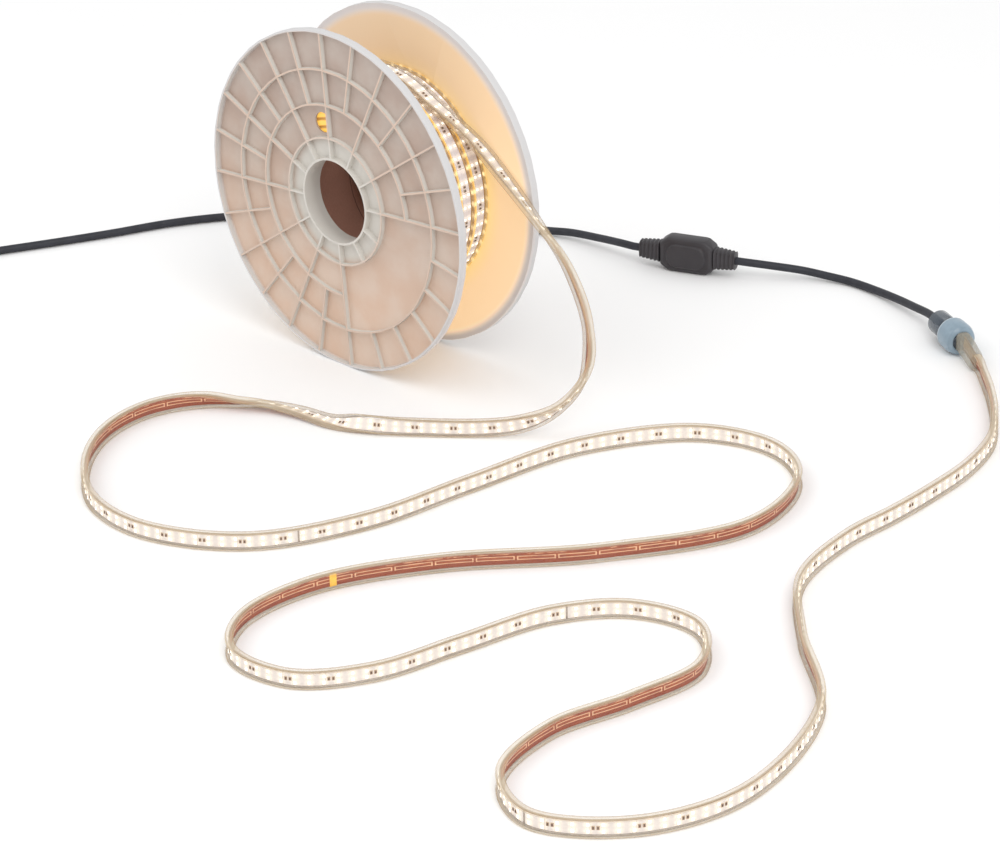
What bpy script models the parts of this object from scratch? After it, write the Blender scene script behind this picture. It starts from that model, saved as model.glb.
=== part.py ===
"""A rope light on its reel: two ribbed flanges on a board tube, the strip wound between them,
the length of strip run out over the floor, and the mains lead with connector, rectifier and plug.

Metres, +Z up. The reel stands on its two flanges, its axis lies along Y, and the origin is on
the floor under the middle of the axis.
"""
from math import asin, cos, degrees, hypot, pi, radians, sin, sqrt

import bmesh
import bpy
from mathutils import Matrix, Vector

# Clearance between solids that touch
GAP = 0.0003

# Reel
REEL_RADIUS = 0.158
REEL_WIDTH = 0.098

# Flange moulding: a web with rings and radial ribs on its outer side
FLANGE_DEPTH = 0.0075
WEB_THICKNESS = 0.002
RIB_THICKNESS = 0.0016
LIP_THICKNESS = 0.002
MIDDLE_RING_RADIUS = 0.0895
OUTER_RING_RADIUS = 0.122
BAYS = 24
FIRST_RIB = -4.5
LABEL_FIRST_RIB = 6
LABEL_LAST_RIB = 12

# Hub of the flange: a sleeve for the axle, stepped inside, and a spigot for the board tube
BORE_RADIUS = 0.0385
SLEEVE_WALL = 0.003
SLEEVE_LENGTH = 0.020
BORE_STEP = 0.001
BORE_STEP_DEPTH = 0.013
SPIGOT_WALL = 0.002
SPIGOT_LENGTH = 0.010

# Hole through the web for the inner end of the strip
END_HOLE_RADIUS = 0.0095
END_HOLE_AT_RADIUS = 0.0716
END_HOLE_FROM_RIB = 9.0

# Board tube that carries the winding
TUBE_RADIUS = 0.059
TUBE_WALL = 0.003

# Strip and its winding
STRIP_WIDTH = 0.016
STRIP_THICKNESS = 0.0075
STRIP_CORNER = 0.0015
LAYERS = 6
TURN_GROOVE = 0.0012
LEAVE_ANGLE = 60.0
STRIP_START_ANGLE = 100.0
LAYER_START_ANGLE = 250.0
LAYER_CLIMB = 8.0

# Connector between strip and lead, laid on the floor on its locking nut
NUT_RADIUS = 0.015
NUT_LENGTH = 0.021
NUT_CHAMFER = 0.0008
NUT_DOME = 0.0045
NUT_DOME_LENGTH = 0.0075
NECK_RADIUS = 0.0087
COLLAR_RADIUS = 0.0111
COLLAR_LENGTH = 0.0265
COLLAR_WALL = 0.0018
COLLAR_CAVITY = 0.014
HOOD_HEIGHT = 0.0185
HOOD_THICKNESS = 0.0125
HOOD_LENGTH = 0.0325
HOOD_TAPER = 0.0006
HOOD_DROP = 0.006
HOOD_SIDE = 0.0015
CONNECTOR_AT = (0.3964, 0.3394)
CONNECTOR_HEADING = 154.8

# Mains lead
LEAD_DIAMETER = 0.0075

# Rectifier in the lead: an oblong box that stands on its long side, with a raised lid towards
# the front of the reel and a ribbed relief at each end
BOX_LENGTH = 0.054
BOX_WIDTH = 0.034
BOX_DEPTH = 0.020
BOX_EDGE = 0.0035
BOX_NOSE = 0.011
LID_HEIGHT = 0.002
LID_LENGTH = 0.040
LID_WIDTH = 0.024
LID_CORNER = 0.010
RELIEF_LENGTH = 0.020
RELIEF_WIDTH = 0.0205
RELIEF_DEPTH = 0.0160
RELIEF_TIP = 0.84
RELIEF_RIB_DEPTH = 0.0007
RELIEF_RIBS = 5
BOX_AT = (0.0940, 0.3143)
BOX_HEADING = 202.0

# Coil of the unseen lead, two turns side by side; its end crosses over them to the two-pin plug
COIL_RADIUS = 0.0394
COIL_AT = (-0.4177, -0.1784)
COIL_ENTRY_ANGLE = 153.0
TAIL_FROM_ANGLE = 165.0
TAIL_LEAVE_ANGLE = 225.0
TAIL_RUN = 0.060
PLUG_WIDTH = 0.0353
PLUG_HEIGHT = 0.0137
PLUG_LENGTH = 0.036
PLUG_NECK_LENGTH = 0.026
PLUG_NECK_RADIUS = 0.0052
PIN_RADIUS = 0.002
PIN_LENGTH = 0.019
PIN_SPACING = 0.0186

# Facets of the round pieces, and how far a cord turns between two of its points
TUBE_STEPS = 36
WINDING_STEPS = 32
SMALL_STEPS = 24
COIL_STEPS = 28
CORNER_STEPS = 2
CORD_TURN = radians(24)
CORD_STEP = 0.085
SPLINE_STEPS = 16
WRAP_STEPS = 6
TAIL_STEPS = 5
STRAIGHT_END = 0.006

# Worked out from the sizes above
RIB_PITCH = 360 / BAYS
INNER_RING_RADIUS = TUBE_RADIUS
BOTTOM_FACET = 2 * (180 - FIRST_RIB - RIB_PITCH * round((180 - FIRST_RIB) / RIB_PITCH - 0.5))
WINDING_BORE = TUBE_RADIUS + GAP
WINDING_RADIUS = WINDING_BORE + LAYERS * STRIP_THICKNESS
WINDING_WIDTH = REEL_WIDTH - 2 * FLANGE_DEPTH - 2 * GAP
LANES = max(1, int(WINDING_WIDTH // STRIP_WIDTH))
LANE_PITCH = WINDING_WIDTH / LANES
LAST_LANE = (LANES - 1) / 2 * LANE_PITCH
LEAVING_LANE = max(0, LANES - 2)
LEAVE_AT = LEAVING_LANE * LANE_PITCH - LAST_LANE
LEAD_RADIUS = LEAD_DIAMETER / 2
FLOOR_CLEAR = 0.0001

# Strip in the air, from the winding down to the floor: x, y, z and lean of its lit side, degrees
# from level, where 90 looks outwards from the reel and 0 looks sideways
AIR_ROUTE = (
    (0.0632, 0.0171, 0.2469, 90),
    (0.0772, 0.0198, 0.2387, 89),
    (0.1010, 0.0300, 0.2165, 85),
    (0.1380, 0.0318, 0.1880, 70),
    (0.1740, 0.0290, 0.1630, 50),
    (0.2180, 0.0220, 0.1330, 19),
    (0.2520, 0.0100, 0.0920, -4),
    (0.2630, -0.0060, 0.0560, -49),
    (0.2520, -0.0260, 0.0290, -50),
    (0.2240, -0.0520, 0.0120, -8),
)

# Strip on the floor, standing on its edge but for one half turn: x, y and lean
FLOOR_ROUTE = (
    (0.151, -0.113, 4), (0.118, -0.134, 35), (0.088, -0.144, 85), (0.053, -0.150, 102),
    (0.023, -0.161, 117), (0.003, -0.177, 134), (-0.019, -0.193, 160),
    (-0.037, -0.217, 178), (-0.045, -0.250, 180), (-0.036, -0.297, 180),
    (0.000, -0.350, 180), (0.060, -0.392, 180), (0.130, -0.397, 180), (0.209, -0.352, 180),
    (0.254, -0.260, 180), (0.269, -0.155, 180), (0.288, -0.040, 180), (0.345, 0.047, 180),
    (0.414, 0.068, 180), (0.470, 0.036, 180), (0.496, -0.055, 180), (0.437, -0.172, 180),
    (0.350, -0.277, 180), (0.304, -0.370, 180), (0.305, -0.448, 180), (0.343, -0.493, 180),
    (0.404, -0.488, 180), (0.444, -0.437, 180), (0.462, -0.360, 180), (0.482, -0.276, 180),
    (0.523, -0.226, 180), (0.582, -0.215, 180), (0.627, -0.262, 180), (0.622, -0.335, 180),
    (0.607, -0.409, 180), (0.628, -0.485, 180), (0.685, -0.514, 180), (0.749, -0.470, 180),
    (0.778, -0.385, 180), (0.738, -0.250, 180), (0.652, -0.171, 180), (0.590, -0.100, 180),
    (0.570, -0.020, 180), (0.570, 0.041, 180), (0.568, 0.089, 180), (0.561, 0.150, 180),
    (0.544, 0.202, 180), (0.517, 0.241, 180),
)

# Strip rising a little from the floor into the connector's hood: x, y, z and lean
RISE_ROUTE = (
    (0.4860, 0.2750, 0.0082, 180),
    (0.4560, 0.3025, 0.0086, 180),
)

# Lead from the connector to the rectifier: x, y, z
SHORT_LEAD_ROUTE = (
    (0.3436, 0.3642, 0.0138),
    (0.3210, 0.3723, 0.0109),
    (0.2946, 0.3809, 0.0078),
    (0.2614, 0.3883, 0.0048),
    (0.2303, 0.3891, 0.0042),
    (0.2066, 0.3814, 0.0060),
    (0.1874, 0.3706, 0.0092),
    (0.1654, 0.3514, 0.0138),
)

# Lead from the rectifier past the back of the reel to the coil: x, y, z
SUPPLY_LEAD_ROUTE = (
    (0.0250, 0.2935, 0.0158),
    (-0.0050, 0.2950, 0.0118),
    (-0.0390, 0.2939, 0.0078),
    (-0.0660, 0.2865, 0.0048),
    (-0.0900, 0.2790, 0.0039),
    (-0.1330, 0.2640, 0.0039),
    (-0.2050, 0.2230, 0.0039),
    (-0.2710, 0.1680, 0.0039),
    (-0.3250, 0.1030, 0.0039),
    (-0.3525, 0.0575, 0.0039),
    (-0.3750, 0.0050, 0.0039),
    (-0.3970, -0.0420, 0.0039),
    (-0.4200, -0.0880, 0.0039),
)


def clear_scene():
    for item in list(bpy.data.objects):
        bpy.data.objects.remove(item)


def material(name, colour, roughness, metallic=0.0, alpha=1.0):
    """A plain surface of one colour."""
    finish = bpy.data.materials.new(name)
    finish.use_nodes = True
    shader = finish.node_tree.nodes["Principled BSDF"]
    shader.inputs["Base Color"].default_value = (*colour, 1.0)
    shader.inputs["Roughness"].default_value = roughness
    shader.inputs["Metallic"].default_value = metallic
    shader.inputs["Alpha"].default_value = alpha
    finish.diffuse_color = (*colour, alpha)
    return finish


def add_object(name, data, finish):
    data.materials.append(finish)
    item = bpy.data.objects.new(name, data)
    bpy.context.scene.collection.objects.link(item)
    return item


def mesh_from(name, bm, sharp=35):
    """A mesh of a bmesh that is one closed body, its faces turned outwards."""
    bmesh.ops.recalc_face_normals(bm, faces=bm.faces)
    mesh = bpy.data.meshes.new(name)
    bm.to_mesh(mesh)
    bm.free()
    mesh.shade_smooth()
    mesh.set_sharp_from_angle(angle=radians(sharp))
    return mesh


def add_rings(bm, rings, closed):
    """Skin a list of rings of points, each as long as the next, and return the rings' vertices."""
    loops = [[bm.verts.new(point) for point in ring] for ring in rings]
    count = len(loops[0])
    pairs = list(zip(loops, loops[1:] + loops[:1])) if closed else list(zip(loops, loops[1:]))
    for low, high in pairs:
        for i in range(count):
            j = (i + 1) % count
            bm.faces.new((low[i], low[j], high[j], high[i]))
    return loops


def lathe(name, profile, steps):
    """Turn a closed profile of (radius, height) points about Z."""
    bm = bmesh.new()
    rings = []
    for i in range(steps):
        angle = 2 * pi * i / steps
        rings.append([(r * cos(angle), r * sin(angle), z) for r, z in profile])
    add_rings(bm, rings, closed=True)
    return mesh_from(name, bm)


def loft(name, sections):
    """Skin sections that follow each other and cap both ends."""
    bm = bmesh.new()
    loops = add_rings(bm, sections, closed=False)
    bm.faces.new(loops[0])
    bm.faces.new(loops[-1])
    return mesh_from(name, bm)


def bored(radius, steps):
    """Corner radius of a bore whose flats lie at the radius."""
    return radius / cos(pi / steps)


def rounded_rectangle(width, height, corner, steps=CORNER_STEPS):
    """Points (u, v) around a rectangle with round corners, counterclockwise."""
    points = []
    for quarter, (side, up) in enumerate(((1, 1), (-1, 1), (-1, -1), (1, -1))):
        for i in range(steps + 1):
            angle = pi / 2 * (quarter + i / steps)
            points.append((side * (width / 2 - corner) + corner * cos(angle),
                           up * (height / 2 - corner) + corner * sin(angle)))
    return points


def rib_angle(rib):
    """Angle of a rib in degrees, clockwise from the top as its side of the reel is seen."""
    return FIRST_RIB + RIB_PITCH * rib


def on_face(radius, angle, z):
    """Point of the flange at an angle clockwise from the top."""
    return (radius * sin(radians(angle)), radius * cos(radians(angle)), z)


def in_label(rib):
    return LABEL_FIRST_RIB < rib < LABEL_LAST_RIB


def has_rib(zone, rib):
    """Whether a zone between two rings has this rib: 0 at the hub to 3 at the rim."""
    if zone == 0:
        return rib % 2 == 0
    if zone == 1:
        return rib % 2 == 0 and not in_label(rib)
    if zone == 2:
        return not in_label(rib)
    return True


def flange_ring(radius, z):
    """Points round the flange: both sides of each rib, and one more in each bay, placed so that
    the facet under the axle is level."""
    half = degrees(asin(RIB_THICKNESS / 2 / radius))
    middle = BOTTOM_FACET - degrees(asin(RIB_THICKNESS / 2 / REEL_RADIUS))
    points = []
    for rib in range(BAYS):
        angle = rib_angle(rib)
        points.append(on_face(radius, angle - half, z))
        points.append(on_face(radius, angle + half, z))
        points.append(on_face(radius, angle + middle, z))
    return points


def flange_mesh():
    """The moulding about Z, its ribbed side at z = 0 and the winding's side below."""
    half = RIB_THICKNESS / 2
    rings = [BORE_RADIUS, BORE_RADIUS + LIP_THICKNESS]
    for radius in (INNER_RING_RADIUS, MIDDLE_RING_RADIUS, OUTER_RING_RADIUS):
        rings += [radius - half, radius + half]
    rings += [REEL_RADIUS - LIP_THICKNESS, REEL_RADIUS]
    bm = bmesh.new()
    loops = [[bm.verts.new(point) for point in flange_ring(r, 0)] for r in rings]
    pockets = []
    for band, (inner, outer) in enumerate(zip(loops, loops[1:])):
        zone = band // 2
        for i in range(3 * BAYS):
            j = (i + 1) % (3 * BAYS)
            face = bm.faces.new((inner[i], inner[j], outer[j], outer[i]))
            rib = i // 3
            on_rib = i % 3 == 0
            in_panel = in_label(rib) or (rib == LABEL_FIRST_RIB and not on_rib)
            if band % 2 == 1 and not (on_rib and has_rib(zone, rib)):
                pockets.append(face)
            elif band == 4 and in_panel:
                pockets.append(face)
    web_top = WEB_THICKNESS - FLANGE_DEPTH
    sunk = bmesh.ops.extrude_face_region(bm, geom=pockets)["geom"]
    bmesh.ops.delete(bm, geom=[f for f in pockets if f.is_valid], context="FACES")
    floor_verts = [v for v in sunk if isinstance(v, bmesh.types.BMVert)]
    bmesh.ops.translate(bm, verts=floor_verts, vec=(0, 0, web_top))
    floors = [f for f in sunk if isinstance(f, bmesh.types.BMFace)]
    bmesh.ops.dissolve_faces(bm, faces=floors, use_verts=False)
    back = (
        (REEL_RADIUS, -FLANGE_DEPTH),
        (TUBE_RADIUS - TUBE_WALL - GAP, -FLANGE_DEPTH),
        (TUBE_RADIUS - TUBE_WALL - GAP, -FLANGE_DEPTH - SPIGOT_LENGTH),
        (TUBE_RADIUS - TUBE_WALL - GAP - SPIGOT_WALL, -FLANGE_DEPTH - SPIGOT_LENGTH),
        (TUBE_RADIUS - TUBE_WALL - GAP - SPIGOT_WALL, -FLANGE_DEPTH),
        (BORE_RADIUS + SLEEVE_WALL, -FLANGE_DEPTH),
        (BORE_RADIUS + SLEEVE_WALL, -SLEEVE_LENGTH),
        (BORE_RADIUS + BORE_STEP, -SLEEVE_LENGTH),
        (BORE_RADIUS + BORE_STEP, -BORE_STEP_DEPTH),
        (BORE_RADIUS, -BORE_STEP_DEPTH),
    )
    chain = [loops[-1]]
    chain += [[bm.verts.new(point) for point in flange_ring(r, z)] for r, z in back]
    chain.append(loops[0])
    for low, high in zip(chain, chain[1:]):
        for i in range(3 * BAYS):
            j = (i + 1) % (3 * BAYS)
            bm.faces.new((low[i], low[j], high[j], high[i]))
    return mesh_from("flange", bm)


def axis_height():
    """Height of the reel's axis over the floor: the facet under it is level."""
    lowest = min(y for x, y, z in flange_ring(REEL_RADIUS, 0))
    return -lowest


def end_hole_cutter(name, parent):
    """A plug through the web where the strip's inner end comes out."""
    bm = bmesh.new()
    angle = FIRST_RIB - END_HOLE_FROM_RIB
    place = Matrix.Translation(on_face(END_HOLE_AT_RADIUS, angle, -FLANGE_DEPTH))
    bmesh.ops.create_cone(bm, cap_ends=True, segments=SMALL_STEPS, radius1=END_HOLE_RADIUS,
                          radius2=END_HOLE_RADIUS, depth=FLANGE_DEPTH, matrix=place)
    mesh = mesh_from(name, bm)
    cutter = bpy.data.objects.new(name, mesh)
    bpy.context.scene.collection.objects.link(cutter)
    cutter.parent = parent
    cutter.hide_render = True
    cutter.display_type = "WIRE"
    return cutter


def add_flange(name, mesh, finish, side):
    """One flange, with side -1 in front of the winding and 1 behind it."""
    flange = add_object(name, mesh, finish)
    flange.location = (0, side * REEL_WIDTH / 2, axis_height())
    flange.rotation_euler = (pi / 2, 0, 0 if side < 0 else pi)
    hole = flange.modifiers.new("strip end hole", "BOOLEAN")
    hole.operation = "DIFFERENCE"
    hole.solver = "EXACT"
    hole.object = end_hole_cutter(name + "_end_hole", flange)
    return flange


def add_tube(finish):
    """The board tube, seated on both spigots between the webs."""
    half = REEL_WIDTH / 2 - FLANGE_DEPTH - GAP
    inner = bored(TUBE_RADIUS - TUBE_WALL, TUBE_STEPS)
    profile = ((TUBE_RADIUS, -half), (TUBE_RADIUS, half), (inner, half), (inner, -half))
    tube = add_object("core_tube", lathe("core_tube", profile, TUBE_STEPS), finish)
    tube.location = (0, 0, axis_height())
    tube.rotation_euler = (pi / 2, 0, 0)
    return tube


def winding_section(raised):
    """Half section (y, radius) of the winding, clockwise from the front bottom corner. Where
    raised is true, the leaving lane also carries the first turn of the next layer."""
    end = LAST_LANE + STRIP_WIDTH / 2
    bore = bored(WINDING_BORE, WINDING_STEPS)
    section = [(-end + TURN_GROOVE, bore)]
    for layer in range(LAYERS):
        foot = WINDING_BORE + layer * STRIP_THICKNESS
        head = foot + STRIP_THICKNESS
        section.append((-end, foot + STRIP_CORNER))
        section.append((-end, head - STRIP_CORNER))
        if layer < LAYERS - 1:
            section.append((-end + TURN_GROOVE, head))
    for lane in range(LANES):
        middle = lane * LANE_PITCH - LAST_LANE
        on_top = raised and lane == LEAVING_LANE
        top = WINDING_RADIUS + (STRIP_THICKNESS if on_top else 0)
        if lane:
            section.append((middle - LANE_PITCH / 2, WINDING_RADIUS - STRIP_CORNER))
        section.append((middle - STRIP_WIDTH / 2 + STRIP_CORNER, top))
        section.append((middle + STRIP_WIDTH / 2 - STRIP_CORNER, top))
    for layer in reversed(range(LAYERS)):
        foot = WINDING_BORE + layer * STRIP_THICKNESS
        head = foot + STRIP_THICKNESS
        section.append((end, head - STRIP_CORNER))
        section.append((end, foot + STRIP_CORNER))
        if layer:
            section.append((end - TURN_GROOVE, foot))
    section.append((end - TURN_GROOVE, bore))
    return section


def add_winding(finish):
    """The wound strip as one turned solid, with the turn that the free strip comes off on top."""
    start = STRIP_START_ANGLE + degrees(GAP / WINDING_RADIUS)
    step = 0.3
    climb = LAYER_START_ANGLE - LAYER_CLIMB
    full = winding_section(False)
    raised = winding_section(True)
    known = [(start, full), (start + step, raised), (climb, raised), (LAYER_START_ANGLE, full)]
    stations = list(known)
    for i in range(WINDING_STEPS):
        angle = 360 * i / WINDING_STEPS
        near = min(abs(angle - other) for other, section in known)
        if near > 180 / WINDING_STEPS / 2 and not climb < angle < LAYER_START_ANGLE:
            stations.append((angle, raised if start < angle < climb else full))
    stations.sort(key=lambda station: station[0])
    bm = bmesh.new()
    rings = []
    for angle, section in stations:
        turn = radians(angle)
        rings.append([(r * cos(turn), y, r * sin(turn)) for y, r in section])
    add_rings(bm, rings, closed=True)
    winding = add_object("wound_strip", mesh_from("wound_strip", bm), finish)
    winding.location = (0, 0, axis_height())
    return winding


def smooth_curve(line):
    """Fine points of a smooth curve through all points of a line but its first and last, which
    only give the curve its way at the ends."""
    fine = []
    for a, b, c, d in zip(line, line[1:], line[2:], line[3:]):
        spans = [max(hypot(*(q - p for p, q in zip(m, n))), 1e-6) ** 0.5
                 for m, n in ((a[:3], b[:3]), (b[:3], c[:3]), (c[:3], d[:3]))]
        knots = [0, spans[0], spans[0] + spans[1], sum(spans)]
        for i in range(SPLINE_STEPS):
            t = knots[1] + spans[1] * i / SPLINE_STEPS
            fine.append([spline_value(values, knots, t) for values in zip(a, b, c, d)])
    fine.append(list(line[-2]))
    return fine


def spline_value(values, knots, t):
    """Value at t of the curve through four values at their knots."""
    row = list(values)
    for level in (1, 2, 3):
        low = 0 if level < 3 else 1
        span = level if level < 3 else 1
        row = [((knots[i + low + span] - t) * p + (t - knots[i + low]) * q)
               / (knots[i + low + span] - knots[i + low])
               for i, (p, q) in enumerate(zip(row, row[1:]))]
    return row[0]


def thinned(fine):
    """Points of a fine curve kept where it has turned, leaned or run far enough."""
    kept = [fine[0]]
    turned = run = leaned = 0.0
    for before, here, after in zip(fine, fine[1:], fine[2:]):
        step = Vector(here[:3]) - Vector(before[:3])
        turned += step.angle(Vector(after[:3]) - Vector(here[:3]))
        run += step.length
        if len(here) > 3:
            leaned += abs(radians(here[3] - before[3]))
        if turned + leaned / 2 > CORD_TURN or run > CORD_STEP:
            kept.append(here)
            turned = run = leaned = 0.0
    kept.append(fine[-1])
    return kept


def cord_points(start, route, end):
    """Points of a cord: both ends as given, and a smooth curve through the route between them."""
    middle = thinned(smooth_curve([*start[-2:], *route, *end[:2]]))
    return [*start[:-1], *middle, *end[1:]]


def heading(angle):
    return Vector((cos(radians(angle)), sin(radians(angle)), 0))


def cord_curve(name, points, finish):
    """A curve object along points of x, y, z and, on a flat cord, the lean in degrees."""
    curve = bpy.data.curves.new(name, "CURVE")
    curve.dimensions = "3D"
    curve.twist_mode = "Z_UP"
    curve.use_fill_caps = True
    spline = curve.splines.new("POLY")
    spline.points.add(len(points) - 1)
    for knot, point in zip(spline.points, points):
        knot.co = (*point[:3], 1)
        if len(point) > 3:
            knot.tilt = radians(point[3])
    return add_object(name, curve, finish)


def standing_height(lean):
    """Height of the strip's middle over the floor at a lean from standing on edge."""
    upright = (STRIP_WIDTH / 2 - STRIP_CORNER) * abs(cos(radians(lean)))
    flat = (STRIP_THICKNESS / 2 - STRIP_CORNER) * abs(sin(radians(lean)))
    return upright + flat + STRIP_CORNER + FLOOR_CLEAR


def strip_points():
    """The whole free strip: round the winding, down through the air, over the floor and up."""
    step = (STRIP_START_ANGLE - LEAVE_ANGLE) / WRAP_STEPS
    radius = (WINDING_RADIUS + STRIP_THICKNESS / 2 + GAP) / cos(radians(step / 2))
    wound = []
    for i in range(WRAP_STEPS + 1):
        angle = radians(STRIP_START_ANGLE - i * step)
        wound.append((radius * cos(angle), LEAVE_AT, axis_height() + radius * sin(angle), 90))
    floor = [(x, y, standing_height(lean), lean) for x, y, lean in FLOOR_ROUTE]
    end = [(*hood_exit(2 * GAP + more), 180) for more in (STRAIGHT_END, 0)]
    return cord_points(wound, [*AIR_ROUTE, *floor, *RISE_ROUTE], end)


def add_strip(finish):
    """The free strip, with its real flat section, as one curve."""
    section = bpy.data.curves.new("strip_section", "CURVE")
    section.dimensions = "2D"
    section.fill_mode = "NONE"
    outline = section.splines.new("POLY")
    corners = rounded_rectangle(STRIP_THICKNESS, STRIP_WIDTH, STRIP_CORNER)[::-1]
    outline.points.add(len(corners) - 1)
    for knot, (u, v) in zip(outline.points, corners):
        knot.co = (u, v, 0, 1)
    outline.use_cyclic_u = True
    guide = bpy.data.objects.new("strip_section", section)
    bpy.context.scene.collection.objects.link(guide)
    guide.hide_render = True
    guide.display_type = "WIRE"
    strip = cord_curve("free_strip", strip_points(), finish)
    strip.data.bevel_mode = "OBJECT"
    strip.data.bevel_object = guide
    return strip


def add_lead(name, points, finish):
    lead = cord_curve(name, points, finish)
    lead.data.bevel_depth = LEAD_RADIUS
    lead.data.bevel_resolution = 2
    return lead


def connector_point(along, side=0.0, drop=0.0):
    """Point measured from the nut's middle: towards the strip, to the reel's front, and down."""
    way = -heading(CONNECTOR_HEADING)
    across = heading(CONNECTOR_HEADING + 90)
    return (CONNECTOR_AT[0] + way.x * along + across.x * side,
            CONNECTOR_AT[1] + way.y * along + across.y * side, NUT_RADIUS - drop)


def hood_bend(share):
    """How far the hood has moved to the side and down at a share of its length."""
    return HOOD_SIDE * share ** 2, HOOD_DROP * share ** 2 * (3 - 2 * share)


def hood_exit(beyond):
    """Point past the hood's end, on the way that the strip leaves it."""
    end = NUT_LENGTH / 2 + GAP + HOOD_LENGTH
    slope = 2 * HOOD_SIDE / HOOD_LENGTH
    along = beyond / hypot(1, slope)
    return connector_point(end + along, HOOD_SIDE + slope * along, HOOD_DROP)


def box_point(along):
    """Point on the rectifier's axis, measured from its middle towards the mains."""
    way = heading(BOX_HEADING)
    return (BOX_AT[0] + way.x * along, BOX_AT[1] + way.y * along, BOX_WIDTH / 2 + FLOOR_CLEAR)


def add_along(name, mesh, finish, place, angle):
    """Place a piece modelled along X at a point, turned to a heading."""
    piece = add_object(name, mesh, finish)
    piece.location = place
    piece.rotation_euler = (0, 0, radians(angle))
    return piece


def add_turned_along(name, profile, finish, place, angle, steps=SMALL_STEPS):
    """Place a turned piece, its profile's heights along the heading."""
    mesh = lathe(name, profile, steps)
    mesh.transform(Matrix.Rotation(pi / 2, 4, "Y"))
    return add_along(name, mesh, finish, place, angle)


def add_connector(clear, blue):
    """Locking nut, lead-side collar with its neck through the nut, and strip-side hood. Lengths
    run along the heading, from the strip to the lead."""
    half = NUT_LENGTH / 2
    bore = bored(NECK_RADIUS + GAP, SMALL_STEPS)
    nut = ((bore, -half), (NUT_RADIUS - NUT_DOME, -half),
           (NUT_RADIUS - 0.3 * NUT_DOME, -half + 0.3 * NUT_DOME_LENGTH),
           (NUT_RADIUS, -half + NUT_DOME_LENGTH), (NUT_RADIUS, half - NUT_CHAMFER),
           (NUT_RADIUS - NUT_CHAMFER, half), (bore, half))
    place = Vector(connector_point(0))
    add_turned_along("locking_nut", nut, blue, place, CONNECTOR_HEADING)
    start = half + GAP
    cavity = COLLAR_RADIUS - COLLAR_WALL
    tip = start + COLLAR_LENGTH
    bm = bmesh.new()
    profile = ((NECK_RADIUS, -half), (NECK_RADIUS, start), (COLLAR_RADIUS, start),
               (COLLAR_RADIUS, tip), (cavity, tip), (cavity, tip - COLLAR_CAVITY))
    rings = []
    for r, x in profile:
        ring = []
        for i in range(SMALL_STEPS):
            angle = 2 * pi * i / SMALL_STEPS
            ring.append((x, r * cos(angle), r * sin(angle)))
        rings.append(ring)
    loops = add_rings(bm, rings, closed=False)
    bm.faces.new(loops[0])
    bm.faces.new(loops[-1])
    add_along("lead_collar", mesh_from("lead_collar", bm), clear, place, CONNECTOR_HEADING)
    mouth = -half - GAP
    shape = ((0, 0.0), (0.10, -0.3), (0.3, -0.3), (0.55, -0.1), (0.75, 0.2), (0.92, 0.55), (1, 1.0))
    sections = []
    for share, taper in shape:
        shrink = 2 * HOOD_TAPER * taper
        side, drop = hood_bend(share)
        outline = rounded_rectangle(HOOD_THICKNESS - shrink, HOOD_HEIGHT - shrink, 0.004, 3)
        sections.append([(mouth - share * HOOD_LENGTH, side + u, v - drop) for u, v in outline])
    add_along("strip_hood", loft("strip_hood", sections), clear, place, CONNECTOR_HEADING)


def box_outline(inset):
    """Outline of the rectifier's broad side: an oblong whose ends draw in to the reliefs."""
    length = BOX_LENGTH / 2 - inset
    width = BOX_WIDTH / 2 - inset
    nose = RELIEF_WIDTH / 2 - inset / 2
    shoulder = BOX_LENGTH / 2 - BOX_NOSE - inset / 2
    quarter = ((length, nose), (length - 0.15 * BOX_NOSE, nose + 0.30 * (width - nose)),
               (shoulder + 0.30 * BOX_NOSE, width - 0.08 * (width - nose)), (shoulder, width))
    right = [(x, y) for x, y in quarter]
    left = [(-x, y) for x, y in reversed(quarter)]
    return right + left + [(x, -y) for x, y in reversed(left)] + [(x, -y) for x, y in reversed(right)]


def add_rectifier(finish):
    """The box with its raised lid, and a ribbed relief at each end."""
    face = BOX_DEPTH - LID_HEIGHT
    round_off = 1 - cos(pi / 4)
    levels = [(y, box_outline(inset)) for y, inset in (
        (0, BOX_EDGE), (round_off * BOX_EDGE, round_off * BOX_EDGE), (BOX_EDGE, 0),
        (face - BOX_EDGE, 0), (face - round_off * BOX_EDGE, round_off * BOX_EDGE), (face, BOX_EDGE))]
    for y, inset in ((face, 0), (BOX_DEPTH, LID_HEIGHT)):
        levels.append((y, rounded_rectangle(LID_LENGTH - inset, LID_WIDTH - inset, LID_CORNER, 3)))
    sections = [[(x, y - BOX_DEPTH / 2, -z) for x, z in outline] for y, outline in levels]
    add_along("rectifier_box", loft("rectifier_box", sections), finish, box_point(0), BOX_HEADING)
    for name, turn in (("relief_strip_side", 180), ("relief_mains_side", 0)):
        sections = []
        count = 4 * RELIEF_RIBS
        for i in range(count + 1):
            share = i / count
            deep = RELIEF_RIB_DEPTH if i % 4 in (2, 3) else 0
            scale = 1 - (1 - RELIEF_TIP) * share
            outline = rounded_rectangle(RELIEF_DEPTH * scale - 2 * deep,
                                        RELIEF_WIDTH * scale - 2 * deep, 0.004)
            along = BOX_LENGTH / 2 + GAP + share * RELIEF_LENGTH
            sections.append([(along, u, v) for u, v in outline])
        add_along(name, loft(name, sections), finish, box_point(0), BOX_HEADING + turn)


def coil_point(radius, angle):
    """Point over the floor on a circle about the coil's middle."""
    return Vector((*COIL_AT, 0)) + radius * heading(angle)


def free_run(clear):
    """Length of a lead that comes in straight to the coil's outer turn, outside the coil."""
    outside = COIL_RADIUS + LEAD_DIAMETER + clear
    return sqrt(outside ** 2 - COIL_RADIUS ** 2)


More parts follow.
